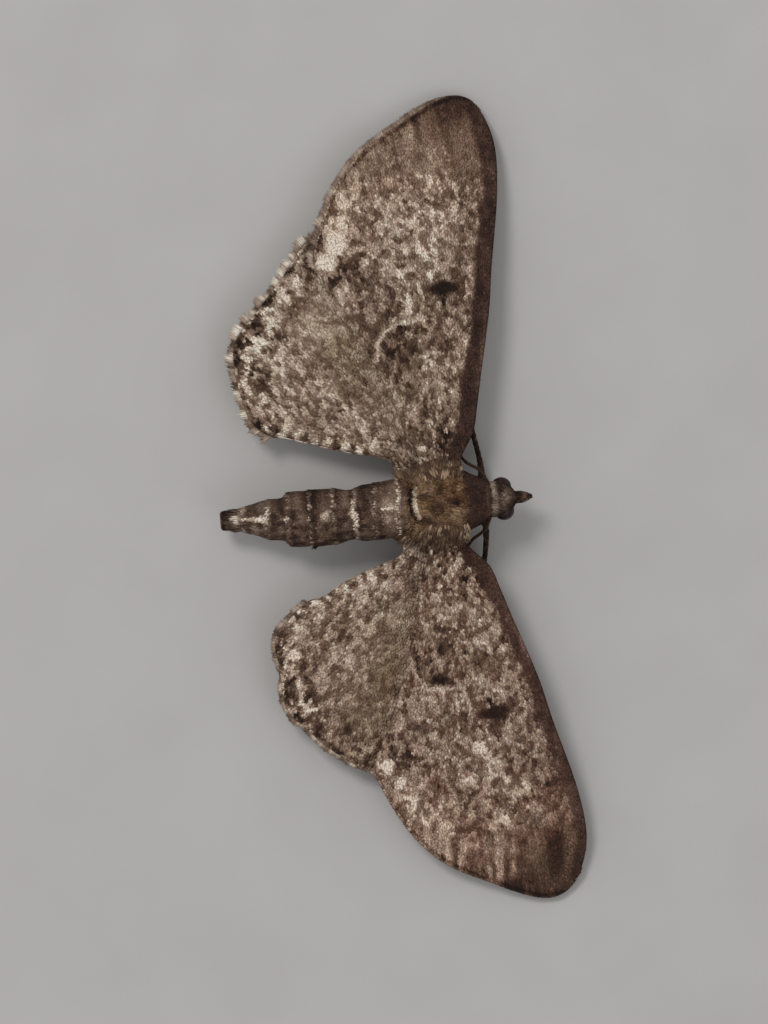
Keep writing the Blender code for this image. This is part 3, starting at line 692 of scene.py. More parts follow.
def coat_material(name, rough, grain, size, bump, sheen=0.0, ridges=0.0):
    """A dry scaly surface: the painted markings, fine grain, uneven roughness and small relief."""
    mat, tree, shader = nodes_of(name)
    link = tree.links.new
    colour = add_node(tree, "ShaderNodeAttribute", attribute_name="Coat")
    place = add_node(tree, "ShaderNodeTexCoord")
    fine = add_node(tree, "ShaderNodeTexNoise", Scale=1.0 / (size * MM), Detail=4.0, Roughness=0.6)
    link(place.outputs["Object"], fine.inputs["Vector"])
    shift = add_node(tree, "ShaderNodeMapRange")
    shift.inputs["From Min"].default_value, shift.inputs["From Max"].default_value = 0.25, 0.75
    shift.inputs["To Min"].default_value, shift.inputs["To Max"].default_value = 1.0 - grain, 1.0 + grain
    link(fine.outputs["Fac"], shift.inputs["Value"])
    mixed = add_node(tree, "ShaderNodeVectorMath", operation="MULTIPLY")
    link(colour.outputs["Color"], mixed.inputs[0])
    link(shift.outputs["Result"], mixed.inputs[1])
    link(mixed.outputs["Vector"], shader.inputs["Base Color"])
    broad = add_node(tree, "ShaderNodeTexNoise", Scale=1.0 / (size * 6 * MM), Detail=2.0)
    link(place.outputs["Object"], broad.inputs["Vector"])
    uneven = add_node(tree, "ShaderNodeMapRange")
    uneven.inputs["To Min"].default_value, uneven.inputs["To Max"].default_value = rough - 0.12, min(rough + 0.12, 1.0)
    link(broad.outputs["Fac"], uneven.inputs["Value"])
    link(uneven.outputs["Result"], shader.inputs["Roughness"])
    relief = add_node(tree, "ShaderNodeBump")
    relief.inputs["Strength"].default_value = bump
    relief.inputs["Distance"].default_value = size * 0.35 * MM
    link(fine.outputs["Fac"], relief.inputs["Height"])
    link(relief.outputs["Normal"], shader.inputs["Normal"])
    shader.inputs["Specular IOR Level"].default_value = 0.18
    shader.inputs["Sheen Weight"].default_value = sheen
    shader.inputs["Sheen Roughness"].default_value = 0.45
    return mat


def eye_material():
    mat, tree, shader = nodes_of("eye_facets")
    link = tree.links.new
    place = add_node(tree, "ShaderNodeTexCoord")
    cloud = add_node(tree, "ShaderNodeTexNoise", Scale=1.0 / (0.12 * MM), Detail=3.0)
    link(place.outputs["Object"], cloud.inputs["Vector"])
    ramp = add_node(tree, "ShaderNodeValToRGB")
    ramp.color_ramp.elements[0].position, ramp.color_ramp.elements[0].color = 0.30, (0.012, 0.006, 0.005, 1)
    ramp.color_ramp.elements[1].position, ramp.color_ramp.elements[1].color = 0.75, (0.036, 0.015, 0.013, 1)
    link(cloud.outputs["Fac"], ramp.inputs["Fac"])
    link(ramp.outputs["Color"], shader.inputs["Base Color"])
    gloss = add_node(tree, "ShaderNodeMapRange")
    gloss.inputs["To Min"].default_value, gloss.inputs["To Max"].default_value = 0.20, 0.34
    link(cloud.outputs["Fac"], gloss.inputs["Value"])
    link(gloss.outputs["Result"], shader.inputs["Roughness"])
    shader.inputs["Specular IOR Level"].default_value = 0.20
    return mat


def claw_material():
    mat, tree, shader = nodes_of("claw_horn")
    link = tree.links.new
    place = add_node(tree, "ShaderNodeTexCoord")
    cloud = add_node(tree, "ShaderNodeTexNoise", Scale=1.0 / (0.05 * MM), Detail=2.0)
    link(place.outputs["Object"], cloud.inputs["Vector"])
    ramp = add_node(tree, "ShaderNodeValToRGB")
    ramp.color_ramp.elements[0].color = (0.020, 0.012, 0.008, 1)
    ramp.color_ramp.elements[1].color = (0.075, 0.042, 0.026, 1)
    link(cloud.outputs["Fac"], ramp.inputs["Fac"])
    link(ramp.outputs["Color"], shader.inputs["Base Color"])
    shader.inputs["Roughness"].default_value = 0.30
    return mat


def floor_material():
    mat, tree, shader = nodes_of("floor_pale")
    link = tree.links.new
    place = add_node(tree, "ShaderNodeTexCoord")
    cloud = add_node(tree, "ShaderNodeTexNoise", Scale=1.0 / (3.0 * MM), Detail=5.0)
    link(place.outputs["Object"], cloud.inputs["Vector"])
    ramp = add_node(tree, "ShaderNodeValToRGB")
    ramp.color_ramp.elements[0].position, ramp.color_ramp.elements[0].color = 0.30, (0.490, 0.476, 0.460, 1)
    ramp.color_ramp.elements[1].position, ramp.color_ramp.elements[1].color = 0.70, (0.520, 0.506, 0.492, 1)
    link(cloud.outputs["Fac"], ramp.inputs["Fac"])
    link(ramp.outputs["Color"], shader.inputs["Base Color"])
    shader.inputs["Roughness"].default_value = 0.9
    shader.inputs["Specular IOR Level"].default_value = 0.15
    return mat


MATERIALS = {
    "wing_scales": coat_material("wing_scales", 0.74, 0.12, 0.030, 0.30, sheen=0.02),
    "body_scales": coat_material("body_scales", 0.78, 0.14, 0.024, 0.30, sheen=0.02),
    "fringe_scales": coat_material("fringe_scales", 0.70, 0.08, 0.030, 0.20, sheen=0.04),
    "membrane": coat_material("membrane", 0.70, 0.14, 0.045, 0.60),
    "skin": coat_material("skin", 0.78, 0.16, 0.040, 0.70),
    "feeler": coat_material("feeler", 0.66, 0.14, 0.018, 0.55),
    "eye": eye_material(),
    "claw": claw_material(),
    "floor": floor_material(),
}


# ---------------------------------------------------------------- wings
def membrane(side, sign, hind):
    """The wing's own sheet, closed, with raised veins; the scales sit on both its faces."""
    outline = hind_outline(side, 5, HIND_FRINGE[side]) if hind else fore_outline(side, 5, 0.02)
    bm = bmesh.new()
    bm.faces.new([bm.verts.new((f, l, 0.0)) for f, l in outline])
    cell = 0.085
    for axis, values in ((0, [p[0] for p in outline]), (1, [p[1] for p in outline])):
        k = math.ceil(min(values) / cell + 0.01)
        while k * cell < max(values) - 0.02:
            at, normal = [0.0, 0.0, 0.0], [0.0, 0.0, 0.0]
            at[axis], normal[axis] = k * cell, 1.0
            bmesh.ops.bisect_plane(bm, geom=bm.verts[:] + bm.edges[:] + bm.faces[:], plane_co=at, plane_no=normal,
                                   dist=1e-4)
            k += 1
    bmesh.ops.remove_doubles(bm, verts=bm.verts, dist=2e-3)
    bmesh.ops.triangulate(bm, faces=bm.faces)
    lower = bmesh.ops.extrude_face_region(bm, geom=bm.faces[:])
    top = {v for v in lower["geom"] if isinstance(v, bmesh.types.BMVert)}
    verts = list(bm.verts)
    f = np.array([v.co.x for v in verts])
    l = np.array([v.co.y for v in verts]) * sign
    upper = np.array([v in top for v in verts])
    z = wing_height(f, l, side, hind) + np.where(upper, MEMBRANE, -MEMBRANE)
    at = scene_points(f, l, z)
    for v, co in zip(verts, at):
        v.co = co
    bmesh.ops.recalc_face_normals(bm, faces=bm.faces)
    name = ("hindwing_" if hind else "forewing_") + side
    mesh = bpy.data.meshes.new("membrane_" + name)
    bm.to_mesh(mesh)
    bm.free()
    mesh.shade_smooth()
    tone, tints = (hind_marks if hind else fore_marks)(f, l, side)
    paint(mesh, colours(tone - 0.10, tints))
    return add_piece("membrane_" + name, mesh, "membrane", "hindwing_scales" if hind else "forewing_scales", name)


def wing_coat(side, sign, hind, upper, spacing, seed):
    rng = np.random.default_rng(seed)
    outline = hind_outline(side, 5, HIND_FRINGE[side] - 0.02) if hind else fore_outline(side, 5, 0.0)
    f, l = hex_roots(outline, spacing, rng)
    if hind and upper:      # what lies well under the forewing carries fewer scales
        other = fore_outline(side, 4, 0.0)
        hidden = inside(f, l, other) & (away_from(f, l, other) > 0.35)
        keep = ~hidden | (rng.random(f.size) < 0.30)
        f, l = f[keep], l[keep]
    l = l * sign
    root = HIND_ROOT if hind else FORE_ROOT
    df, dl = f - root[0] + 0.35 * (0 if hind else 1), np.abs(l) - root[1] + 0.35
    size = np.maximum(np.hypot(df, dl), 1e-6)
    df, dl = df / size, dl / size
    # along the front and hind edges the scales lie along the edge
    near, tf, tl = edge_direction(f, np.abs(l), outline)
    same = np.sign(tf * df + tl * dl)
    along_edge = np.abs(tf * df + tl * dl) > 0.78
    pull = np.exp(-(near / 0.22) ** 2) * along_edge
    df, dl = df * (1 - pull) + tf * same * pull, dl * (1 - pull) + tl * same * pull
    norm = np.maximum(np.hypot(df, dl), 1e-6)
    df, dl = df / norm, dl / norm
    # none is rooted so near those edges that its side would stand past them
    keep = ~(along_edge & (near < 0.040))
    across_edge = np.sqrt(np.clip(1 - (tf * df + tl * dl) ** 2, 0, 1))
    room = (near + 0.015) / np.maximum(across_edge, 0.12)
    keep = keep & (room > 0.045)
    f, l, df, dl, pull, size, room = f[keep], l[keep], df[keep], dl[keep], pull[keep], size[keep], room[keep]
    away = 1.0 if upper else -1.0
    h = 0.03
    z0 = wing_height(f, l, side, hind)
    # each scale clears the sheet both at its root and at its tip
    slope = away * np.maximum(*(away * (wing_height(f + df * q, l + sign * dl * q, side, hind) - z0) / q for q in (h, 0.125)))
    sx = (wing_height(f + h, l, side, hind) - z0) / h
    sy = (wing_height(f, l + h, side, hind) - z0) / h
    along = scene_dirs(df, sign * dl, slope)
    normal = scene_dirs(-sx * away, -sy * away, np.full(f.shape, away))
    at = scene_points(f, l, z0 + away * (MEMBRANE + 0.003))
    # a scale shows its outer half, so the markings are read there
    show_f, show_l = f + df * 0.080, l + sign * dl * 0.080
    if upper:
        tone, tints = (hind_marks if hind else fore_marks)(show_f, show_l, side)
    else:
        tone, tints = under_marks(show_f, show_l, side, hind)
    tone = tone + speckle(rng, f.size, 0.04, 0.03, 0.12 if upper else 0.06, 0.018)
    rgb = colours(tone, tints, COAT_GAIN)
    length = rng.normal(0.128, 0.014, f.size)
    width = rng.normal(0.078, 0.008, f.size)
    leaving = ~inside(f + df * 0.16, np.abs(l) + dl * 0.16, outline)
    length = np.where(leaving, np.minimum(length, room), length)
    base = 1 - step(size, 0.6, 1.8)
    length, width = length * (1 + 0.2 * base), width * (1 - 0.10 * base)
    # rough places where tufts of scales stand up a little
    lifted = np.clip(noise(f, l, 0.35, 37), 0, 1) ** 2
    pitch = 3.8 + 5.0 * lifted + 2.5 * base
    edge = np.array(outline)
    low, high = edge.min(0), edge.max(0)
    uv = np.stack([(np.abs(l) - low[1]) / (high[1] - low[1]), (f - low[0]) / (high[0] - low[0])], -1) * 0.97 + 0.015
    name = "scales_%swing_%s_%s" % ("hind" if hind else "fore", side, "top" if upper else "under")
    return scales(name, at, along, normal, length, width, rgb, uv, "wing_scales",
                  "hindwing_scales" if hind else "forewing_scales", seed + 1, pitch=pitch,
                  spread=8.0 * (1 - 0.8 * pull))


def fringe(side, sign, hind, seed):
    """Long narrow scales in three layers along the outer margin, chequered and a little ragged."""
    rng = np.random.default_rng(seed)
    inner = np.array(hind_outline(side, 12, HIND_FRINGE[side]) if hind else fore_outline(side, 12, 0.03))
    tip = np.array(hind_outline(side, 12, 0.03)) if hind else np.array(fore_outline(side, 12, 0.02 - FRINGE[side]))
    if hind:
        first, last = 2 * 12 + 6, 19 * 12
    else:
        first, last = 12 * 12, (len(COSTA) + len(TERMEN)) * 12 + 2
    line = inner[first:last]
    tip = tip[first:last]
    steps = np.hypot(*np.diff(line, axis=0).T)
    run = np.concatenate([[0], np.cumsum(steps)])
    total = run[-1]
    parts = []
    for layer, (per_mm, share) in enumerate(((120, 1.0), (100, 0.80), (80, 0.58))):
        n = int(total * per_mm)
        s = (np.arange(n) + rng.random(n)) / n * total
        f, l = np.interp(s, run, line[:, 0]), np.interp(s, run, line[:, 1])
        tf, tl = np.interp(s, run, tip[:, 0]), np.interp(s, run, tip[:, 1])
        wide = np.hypot(tf - f, tl - l)
        dirf = np.interp(s, run, np.gradient(line[:, 0], run))
        dirl = np.interp(s, run, np.gradient(line[:, 1], run))
        size = np.hypot(dirf, dirl)
        nf, nl = -dirl / size, dirf / size
        root = HIND_ROOT if hind else FORE_ROOT
        out = np.sign((f - root[0]) * nf + (l - root[1]) * nl)
        nf, nl = nf * out, nl * out
        parts.append((s, f, l, nf, nl, wide, np.full(n, share), np.full(n, layer)))
    s, f, l, nf, nl, wide, share, layer = (np.concatenate(c) for c in zip(*parts))
    lift = wing_height(f, l * sign, side, hind) + 0.012 - 0.012 * layer
    radial_f, radial_l = f - (HIND_ROOT if hind else FORE_ROOT)[0], l - (HIND_ROOT if hind else FORE_ROOT)[1]
    size = np.hypot(radial_f, radial_l)
    df, dl = 0.65 * nf + 0.35 * radial_f / size, 0.65 * nl + 0.35 * radial_l / size
    lump = noise(s, 0 * s, 0.16, 38)
    clump = noise(s, 0 * s + 7.0, 0.17, 36) + 0.55 * noise(s, 0 * s + 9.0, 0.075, 35)
    tuft = np.clip(clump + 0.05, 0, 0.60)
    loose = step(s, 4.2, 5.6) if side == "left" and not hind else (1.0 if side == "left" else 0.3) * (0.0 * s + hind)
    ragged = np.minimum(0.88 + 0.10 * lump * (0.4 + loose) + 0.80 * loose * tuft, 1.34)
    ragged = np.minimum(ragged * (1 + rng.normal(0, 0.04 + 0.09 * loose, f.size)), 1.50)
    worn = step(noise(s, 0 * s + 3.0, 0.7, 39), 0.25, 0.6) if side == "right" else 0.0 * s
    length = (np.maximum(wide, 0.02) + 0.03) * share * ragged * (1 - 0.35 * worn)
    width = rng.normal(0.036, 0.005, f.size)
    period = 0.62 if not hind else 0.56
    wave = np.sin(2 * math.pi * (s + 0.10 * noise(s, 0 * s, 0.4, 37)) / period)
    checks = np.tanh(2.5 * wave) * (0.15 if hind else 0.08)
    gaps = np.clip(-clump - 0.10, 0, 0.5)
    tone = (0.64 if side == "left" else 0.54) + checks - 0.10 * (layer == 2) + rng.normal(0, 0.045, f.size)
    tone = tone + loose * (0.34 * tuft * (1 + 0.8 * noise(s, 0 * s, 0.5, 34)) - 0.50 * gaps)
    if not hind:
        apex = 1 - step(s, 0.6, 2.6)
        tone = tone - 0.24 * apex
    else:
        tone = tone + 0.05
    at = scene_points(f - 0.03 * nf, sign * (l - 0.03 * nl), lift)
    along = scene_dirs(df, sign * dl, -0.04 - 0.10 * np.zeros(f.size))
    normal = scene_dirs(np.zeros(f.size), np.zeros(f.size), np.ones(f.size))
    pts = np.array(hind_outline(side, 2, 0) if hind else fore_outline(side, 2, 0))
    low, high = pts.min(0), pts.max(0)
    uv = np.stack([(l - low[1]) / (high[1] - low[1]), (f - low[0]) / (high[0] - low[0])], -1) * 0.97 + 0.015
    rgb = colours(tone, {"grey": 0.5 + 0.0 * tone, "warm": 0.25 + 0.0 * tone}, COAT_GAIN)
    return scales("fringe_%swing_%s" % ("hind" if hind else "fore", side), at, along, normal, length, width, rgb, uv,
                  "fringe_scales", "hindwing_scales" if hind else "forewing_scales", seed + 1, pitch=3.0, spread=6.0,
                  hair=True, bend=0.04)


# ---------------------------------------------------------------- body
COAT_DEPTH = {"abdomen": 0.018, "thorax": 0.065, "head": 0.035}


def body_rows(steps=6):
    rows = []
    for part, table in (("head", HEAD), ("thorax", THORAX), ("abdomen", ABDOMEN)):
        depth = COAT_DEPTH[part]
        rows += [(f, max(w - depth, 0.05), max(h - depth, 0.05), z, c) for f, w, h, z, c in table]
    return np.array(spline(rows, steps, closed=False))


BODY = body_rows()[::-1]               # f rising


def ring_step(f):
    """Each ring of the abdomen widens a little to its hind edge."""
    edges = np.array(SEGMENT_EDGES)[::-1]
    k = np.clip(np.searchsorted(edges, f), 1, len(edges) - 1)
    t = np.clip((edges[k] - f) / (edges[k] - edges[k - 1]), 0, 1)
    on = step(-f, 0.95, 1.15)
    return 1.0 - on * 0.034 * (1 - t ** 0.8) * (1 - step(-f, 5.3, 5.6))


def body_point(f, theta, grow=0.0):
    """(f, l, z) on the skin; theta is 0 on the moth's left, 90 degrees on its back."""
    w, h, z, c = (np.interp(f, BODY[:, 0], BODY[:, k]) for k in (1, 2, 3, 4))
    k = ring_step(f)
    return f, c + (w * k + grow) * np.cos(theta), z + (h * k + grow) * np.sin(theta)


def tube(path, radii, sides):
    """A closed tube along a path; returns points and triangles."""
    path = np.array(path, float)
    tangent = np.gradient(path, axis=0)
    tangent /= np.linalg.norm(tangent, axis=1, keepdims=True)
    side = np.cross(tangent[0], (0.0, 0.0, 1.0))
    verts = []
    for p, t, r in zip(path, tangent, radii):
        side = side - t * (side @ t)
        side /= np.linalg.norm(side)
        other = np.cross(t, side)
        for k in range(sides):
            a = 2 * math.pi * k / sides
            verts.append(p + r * (side * math.cos(a) + other * math.sin(a)))
    tris = []
    n = len(path)
    for i in range(n - 1):
        for k in range(sides):
            m = (k + 1) % sides
            a, b, c, d = i * sides + k, i * sides + m, (i + 1) * sides + m, (i + 1) * sides + k
            tris += [(a, b, c), (a, c, d)]
    first, last = len(verts), len(verts) + 1
    verts += [path[0], path[-1]]
    for k in range(sides):
        m = (k + 1) % sides
        tris += [(first, m, k), (last, (n - 1) * sides + k, (n - 1) * sides + m)]
    return np.array(verts), np.array(tris)


def leg_path(kind, sign, steps=10):
    path = np.array(spline([(f, sign * l, z) for f, l, z in LEGS[kind]], steps, closed=False))
    s = np.concatenate([[0], np.cumsum(np.linalg.norm(np.diff(path, axis=0), axis=1))])
    t = s / s[-1]
    radius = np.interp(t, (0, 0.08, 0.30, 0.42, 0.70, 0.74, 1.0),
                       (LEG_WIDE, LEG_WIDE * 1.15, LEG_WIDE, LEG_WIDE * 0.82, LEG_WIDE * 0.86, LEG_THIN, LEG_THIN * 0.8))
    # the five short joints of the foot
    foot = step(t, 0.72, 0.75)
    radius = radius * (1 - 0.10 * foot * (0.5 + 0.5 * np.cos(2 * math.pi * (t - 0.74) / 0.052)))
    return path, s, t, radius


PALP_LINES = [((1.62, sx * 0.085, 1.20), (1.84, sx * 0.078, 1.195), (2.02, sx * 0.066, 1.19), (2.14, sx * 0.045, 1.19),
               (2.235, sx * 0.022, 1.19)) for sx in (1.0, -1.0)]
PALP_RADII = (0.075, 0.082, 0.068, 0.045, 0.016)


def skin():
    """Head, palps, thorax, abdomen and legs as one closed skin with no seam."""
    bm = bmesh.new()

    def take(points, tris):
        made = [bm.verts.new((l, -f, z)) for f, l, z in points]
        for a, b, c in tris:
            bm.faces.new((made[a], made[b], made[c]))

    # trunk
    sides = 72
    fs = np.arange(BODY[0, 0], BODY[-1, 0], 0.03)
    theta = 2 * math.pi * np.arange(sides) / sides
    points, tris = [], []
    for f in fs:
        ff, ll, zz = body_point(np.full(sides, f), theta)
        points += list(zip(ff, ll, zz))
    for i in range(len(fs) - 1):
        for k in range(sides):
            m = (k + 1) % sides
            a, b, c, d = i * sides + k, i * sides + m, (i + 1) * sides + m, (i + 1) * sides + k
            tris += [(a, b, c), (a, c, d)]
    for row, f in ((0, fs[0]), (len(fs) - 1, fs[-1])):
        centre = len(points)
        points.append((f, float(np.interp(f, BODY[:, 0], BODY[:, 4])), float(np.interp(f, BODY[:, 0], BODY[:, 3]))))
        for k in range(sides):
            m = (k + 1) % sides
            pair = (row * sides + m, row * sides + k) if row == 0 else (row * sides + k, row * sides + m)
            tris.append((centre, *pair))
    take(points, tris)
    for knots in PALP_LINES:
        line = spline(knots, 5, closed=False)
        take(*tube(line, np.interp(np.linspace(0, 4, len(line)), range(5), PALP_RADII), 14))
    for _, sign in SIDES:
        for kind in LEGS:
            path, _, _, radius = leg_path(kind, sign)
            take(*tube(path, radius, 12))
    bmesh.ops.recalc_face_normals(bm, faces=bm.faces)
    mesh = bpy.data.meshes.new("skin_parts")
    bm.to_mesh(mesh)
    bm.free()
    holder = bpy.data.objects.new("skin_parts", mesh)
    bpy.context.scene.collection.objects.link(holder)
    mod = holder.modifiers.new("one_skin", "REMESH")
    mod.mode = "VOXEL"
    mod.voxel_size = 0.026
    mod.adaptivity = 0.0
    soft = holder.modifiers.new("soften", "SMOOTH")
    soft.factor, soft.iterations = 0.5, 2
    bpy.context.view_layer.update()
    made = bpy.data.meshes.new_from_object(holder.evaluated_get(bpy.context.evaluated_depsgraph_get()))
    bpy.data.objects.remove(holder, do_unlink=True)
    co = np.zeros(len(made.vertices) * 3)
    made.vertices.foreach_get("co", co)
    co = co.reshape(-1, 3)
    f, l, z = -co[:, 1], co[:, 0], np.maximum(co[:, 2], 0.0)
    made.vertices.foreach_set("co", scene_points(f, l, z).astype(np.float32).ravel())
    made.update()
    made.name = "skin"
    centre = np.interp(f, BODY[:, 0], BODY[:, 3])
    height = np.interp(f, BODY[:, 0], BODY[:, 2])
    up = np.clip((z - centre) / np.maximum(height, 0.1), -1, 1)
    tone, tints = body_marks(f, l, z, up)
    leg = step(-(z - (centre - height * 0.95)), 0.02, 0.12)
    tone = tone * (1 - leg) + leg * (0.22 + 0.05 * noise(f, l, 0.2, 3))
    paint(made, colours(tone - 0.06, tints))
    made.shade_smooth()
    legs = [kind + "_" + side for side, _ in SIDES for kind in LEGS]
    return add_piece("skin", made, "skin", "thorax_scales", "head", "thorax", "abdomen", "palps", *legs)


def eye(side):
    """A compound eye: a ball of small raised facets, set in the side of the head."""
    f, l, z = EYE[side]
    bm = bmesh.new()
    bmesh.ops.create_icosphere(bm, subdivisions=5, radius=1.0)
    coarse = len(bm.verts)
    coarse_co = {tuple(round(c, 5) for c in v.co) for v in bm.verts}
    bm.free()
    bm = bmesh.new()
    bmesh.ops.create_icosphere(bm, subdivisions=6, radius=1.0)
    for v in bm.verts:
        middle = tuple(round(c, 5) for c in v.co.normalized()) in coarse_co
        v.co = v.co.normalized() * (EYE_RADIUS if middle else EYE_RADIUS - 0.0035)
        v.co = Vector((v.co.x * 0.97, v.co.y, v.co.z * 1.04)) * MM
    at = scene_points(np.array([f]), np.array([l]), np.array([z]))[0]
    bmesh.ops.translate(bm, verts=bm.verts, vec=Vector(at))
    mesh = bpy.data.meshes.new("facets_eye_" + side)
    bm.to_mesh(mesh)
    bm.free()
    mesh.shade_smooth()
    return add_piece("facets_eye_" + side, mesh, "eye", "eye", "eye_" + side)


def feeler(side, sign):
    """A ringed feeler, thick at its base and thin at its tip; the short scales over it are made by limb_coat."""
    path = np.array(spline([(f, sign * l, z) for f, l, z in ANTENNA], 60, closed=False))
    s = np.concatenate([[0], np.cumsum(np.linalg.norm(np.diff(path, axis=0), axis=1))])
    even = np.arange(0, s[-1], 0.016)
    path = np.stack([np.interp(even, s, path[:, k]) for k in range(3)], -1)
    t = even / even[-1]
    radius = np.interp(t, (0, 0.03, 0.06, 0.35, 0.6, 1.0), (0.060, 0.066, 0.046, 0.043, 0.033, 0.018))
    ring = 0.5 + 0.5 * np.cos(2 * math.pi * even / 0.080)
    radius = radius * (1 - 0.16 * ring ** 2)
    verts, tris = tube(path, radius, 12)
    mesh = new_mesh("feeler_" + side, scene_points(verts[:, 0], verts[:, 1], verts[:, 2]), tris)
    bands = np.repeat(ring, 12)
    tone = np.concatenate([0.10 + 0.12 * bands, [0.2, 0.2]])
    start = np.concatenate([np.repeat(t, 12), [0.0, 1.0]])
    tone = tone + 0.45 * np.exp(-((start - 0.022) / 0.018) ** 2)
    paint(mesh, colours(tone, {"warm": 0.2 + 0.0 * tone}))
    mesh.shade_smooth()
    add_piece("feeler_" + side, mesh, "feeler", "antenna", "antenna_" + side)
    return path, even, t, radius


def limb_coat(name, lines, slot, seed, dense, length, width, tone_of, pitch=10.0):
    """Short scales along limbs; each line is (path, running length, share, radius)."""
    rng = np.random.default_rng(seed)
    roots, alongs, normals, uvs, tones, lengths = [], [], [], [], [], []
    for row, (path, s, t, radius) in enumerate(lines):
        n = int(s[-1] * dense)
        at = rng.random(n) * s[-1] * 0.985
        p = np.stack([np.interp(at, s, path[:, k]) for k in range(3)], -1)
        q = np.stack([np.interp(at + 0.02, s, path[:, k]) for k in range(3)], -1)
        o = np.stack([np.interp(at - 0.02, s, path[:, k]) for k in range(3)], -1)
        d = q - o
        d /= np.maximum(np.linalg.norm(d, axis=1, keepdims=True), 1e-9)
        a = rng.random(n) * 2 * math.pi
        side = np.cross(d, (0.0, 0.0, 1.0))
        side /= np.maximum(np.linalg.norm(side, axis=1, keepdims=True), 1e-9)
        other = np.cross(side, d)
        nrm = side * np.cos(a)[:, None] + other * np.sin(a)[:, None]
        r = np.interp(at, s, radius)
        p = p + nrm * (r * 0.97)[:, None]
        share = np.interp(at, s, t)
        keep = p[:, 2] > 0.012
        p, d, nrm, share, a, r = p[keep], d[keep], nrm[keep], share[keep], a[keep], r[keep]
        roots.append(scene_points(p[:, 0], p[:, 1], p[:, 2]))
        alongs.append(scene_dirs(d[:, 0], d[:, 1], d[:, 2]))
        normals.append(scene_dirs(nrm[:, 0], nrm[:, 1], nrm[:, 2]))
        uvs.append(np.stack([(row + 0.08 + 0.84 * a / (2 * math.pi)) / len(lines), share * 0.98 + 0.01], -1))
        tones.append(tone_of(share) + rng.normal(0, 0.07, len(share)))
        lengths.append(length * np.clip(r / radius.max(), 0.55, 1.0) * rng.normal(1, 0.12, len(share)))
    tone = np.concatenate(tones)
    return scales(name, np.concatenate(roots), np.concatenate(alongs), np.concatenate(normals),
                  np.concatenate(lengths), np.full(tone.shape, width), colours(tone, {"warm": 0.2 + 0.0 * tone}, COAT_GAIN),
                  np.concatenate(uvs), "body_scales", slot, seed + 1, pitch=pitch, spread=8.0)


def claws():
    """A pair of small hooks on each foot and the spurs of the mid and hind shins."""
    verts, tris, count = [], [], 0
    for _, sign in SIDES:
        for kind in LEGS:
            path, s, t, radius = leg_path(kind, sign)
            end, back = path[-1], path[-4]
            d = (end - back) / np.linalg.norm(end - back)
            side = np.cross(d, (0, 0, 1.0))
            side /= np.linalg.norm(side)
            hooks = [[end - d * 0.02, end + d * 0.045 + side * k * 0.030 + (0, 0, 0.004),
                      end + d * 0.085 + side * k * 0.045 + (0, 0, -0.018), end + d * 0.098 + side * k * 0.047 + (0, 0, -0.034)]
                     for k in (-1, 1)]
            radii = [(0.013, 0.011, 0.007, 0.002)] * 2
            for share in {"foreleg": (), "midleg": (0.70,), "hindleg": (0.58, 0.70)}[kind]:
                k = int(np.argmin(np.abs(t - share)))
                fwd = (path[k + 1] - path[k]) / np.linalg.norm(path[k + 1] - path[k])
                out = np.cross(fwd, (0, 0, 1.0))
                out /= np.linalg.norm(out)
                for j, far in ((-1, 0.24), (1, 0.17)):
                    base = path[k] + out * j * radius[k] * 0.7
                    hooks.append([base, base + fwd * far * 0.4 + out * j * 0.05, base + fwd * far * 0.75 + out * j * 0.075,
                                  base + fwd * far + out * j * 0.085])
                    radii.append((0.017, 0.016, 0.011, 0.003))
            for knots, rad in zip(hooks, radii):
                line = np.array(spline([tuple(p) for p in knots], 4, closed=False))
                line[:, 2] = np.maximum(line[:, 2], 0.014)
                v, f = tube(line, np.interp(np.linspace(0, 3, len(line)), range(4), rad), 8)
                verts.append(v)
                tris.append(f + count)
                count += len(v)
    v = np.concatenate(verts)
    mesh = new_mesh("claws", scene_points(v[:, 0], v[:, 1], np.maximum(v[:, 2], 0.0)), np.concatenate(tris))
    mesh.shade_smooth()
    return add_piece("claws", mesh, "claw", "leg")


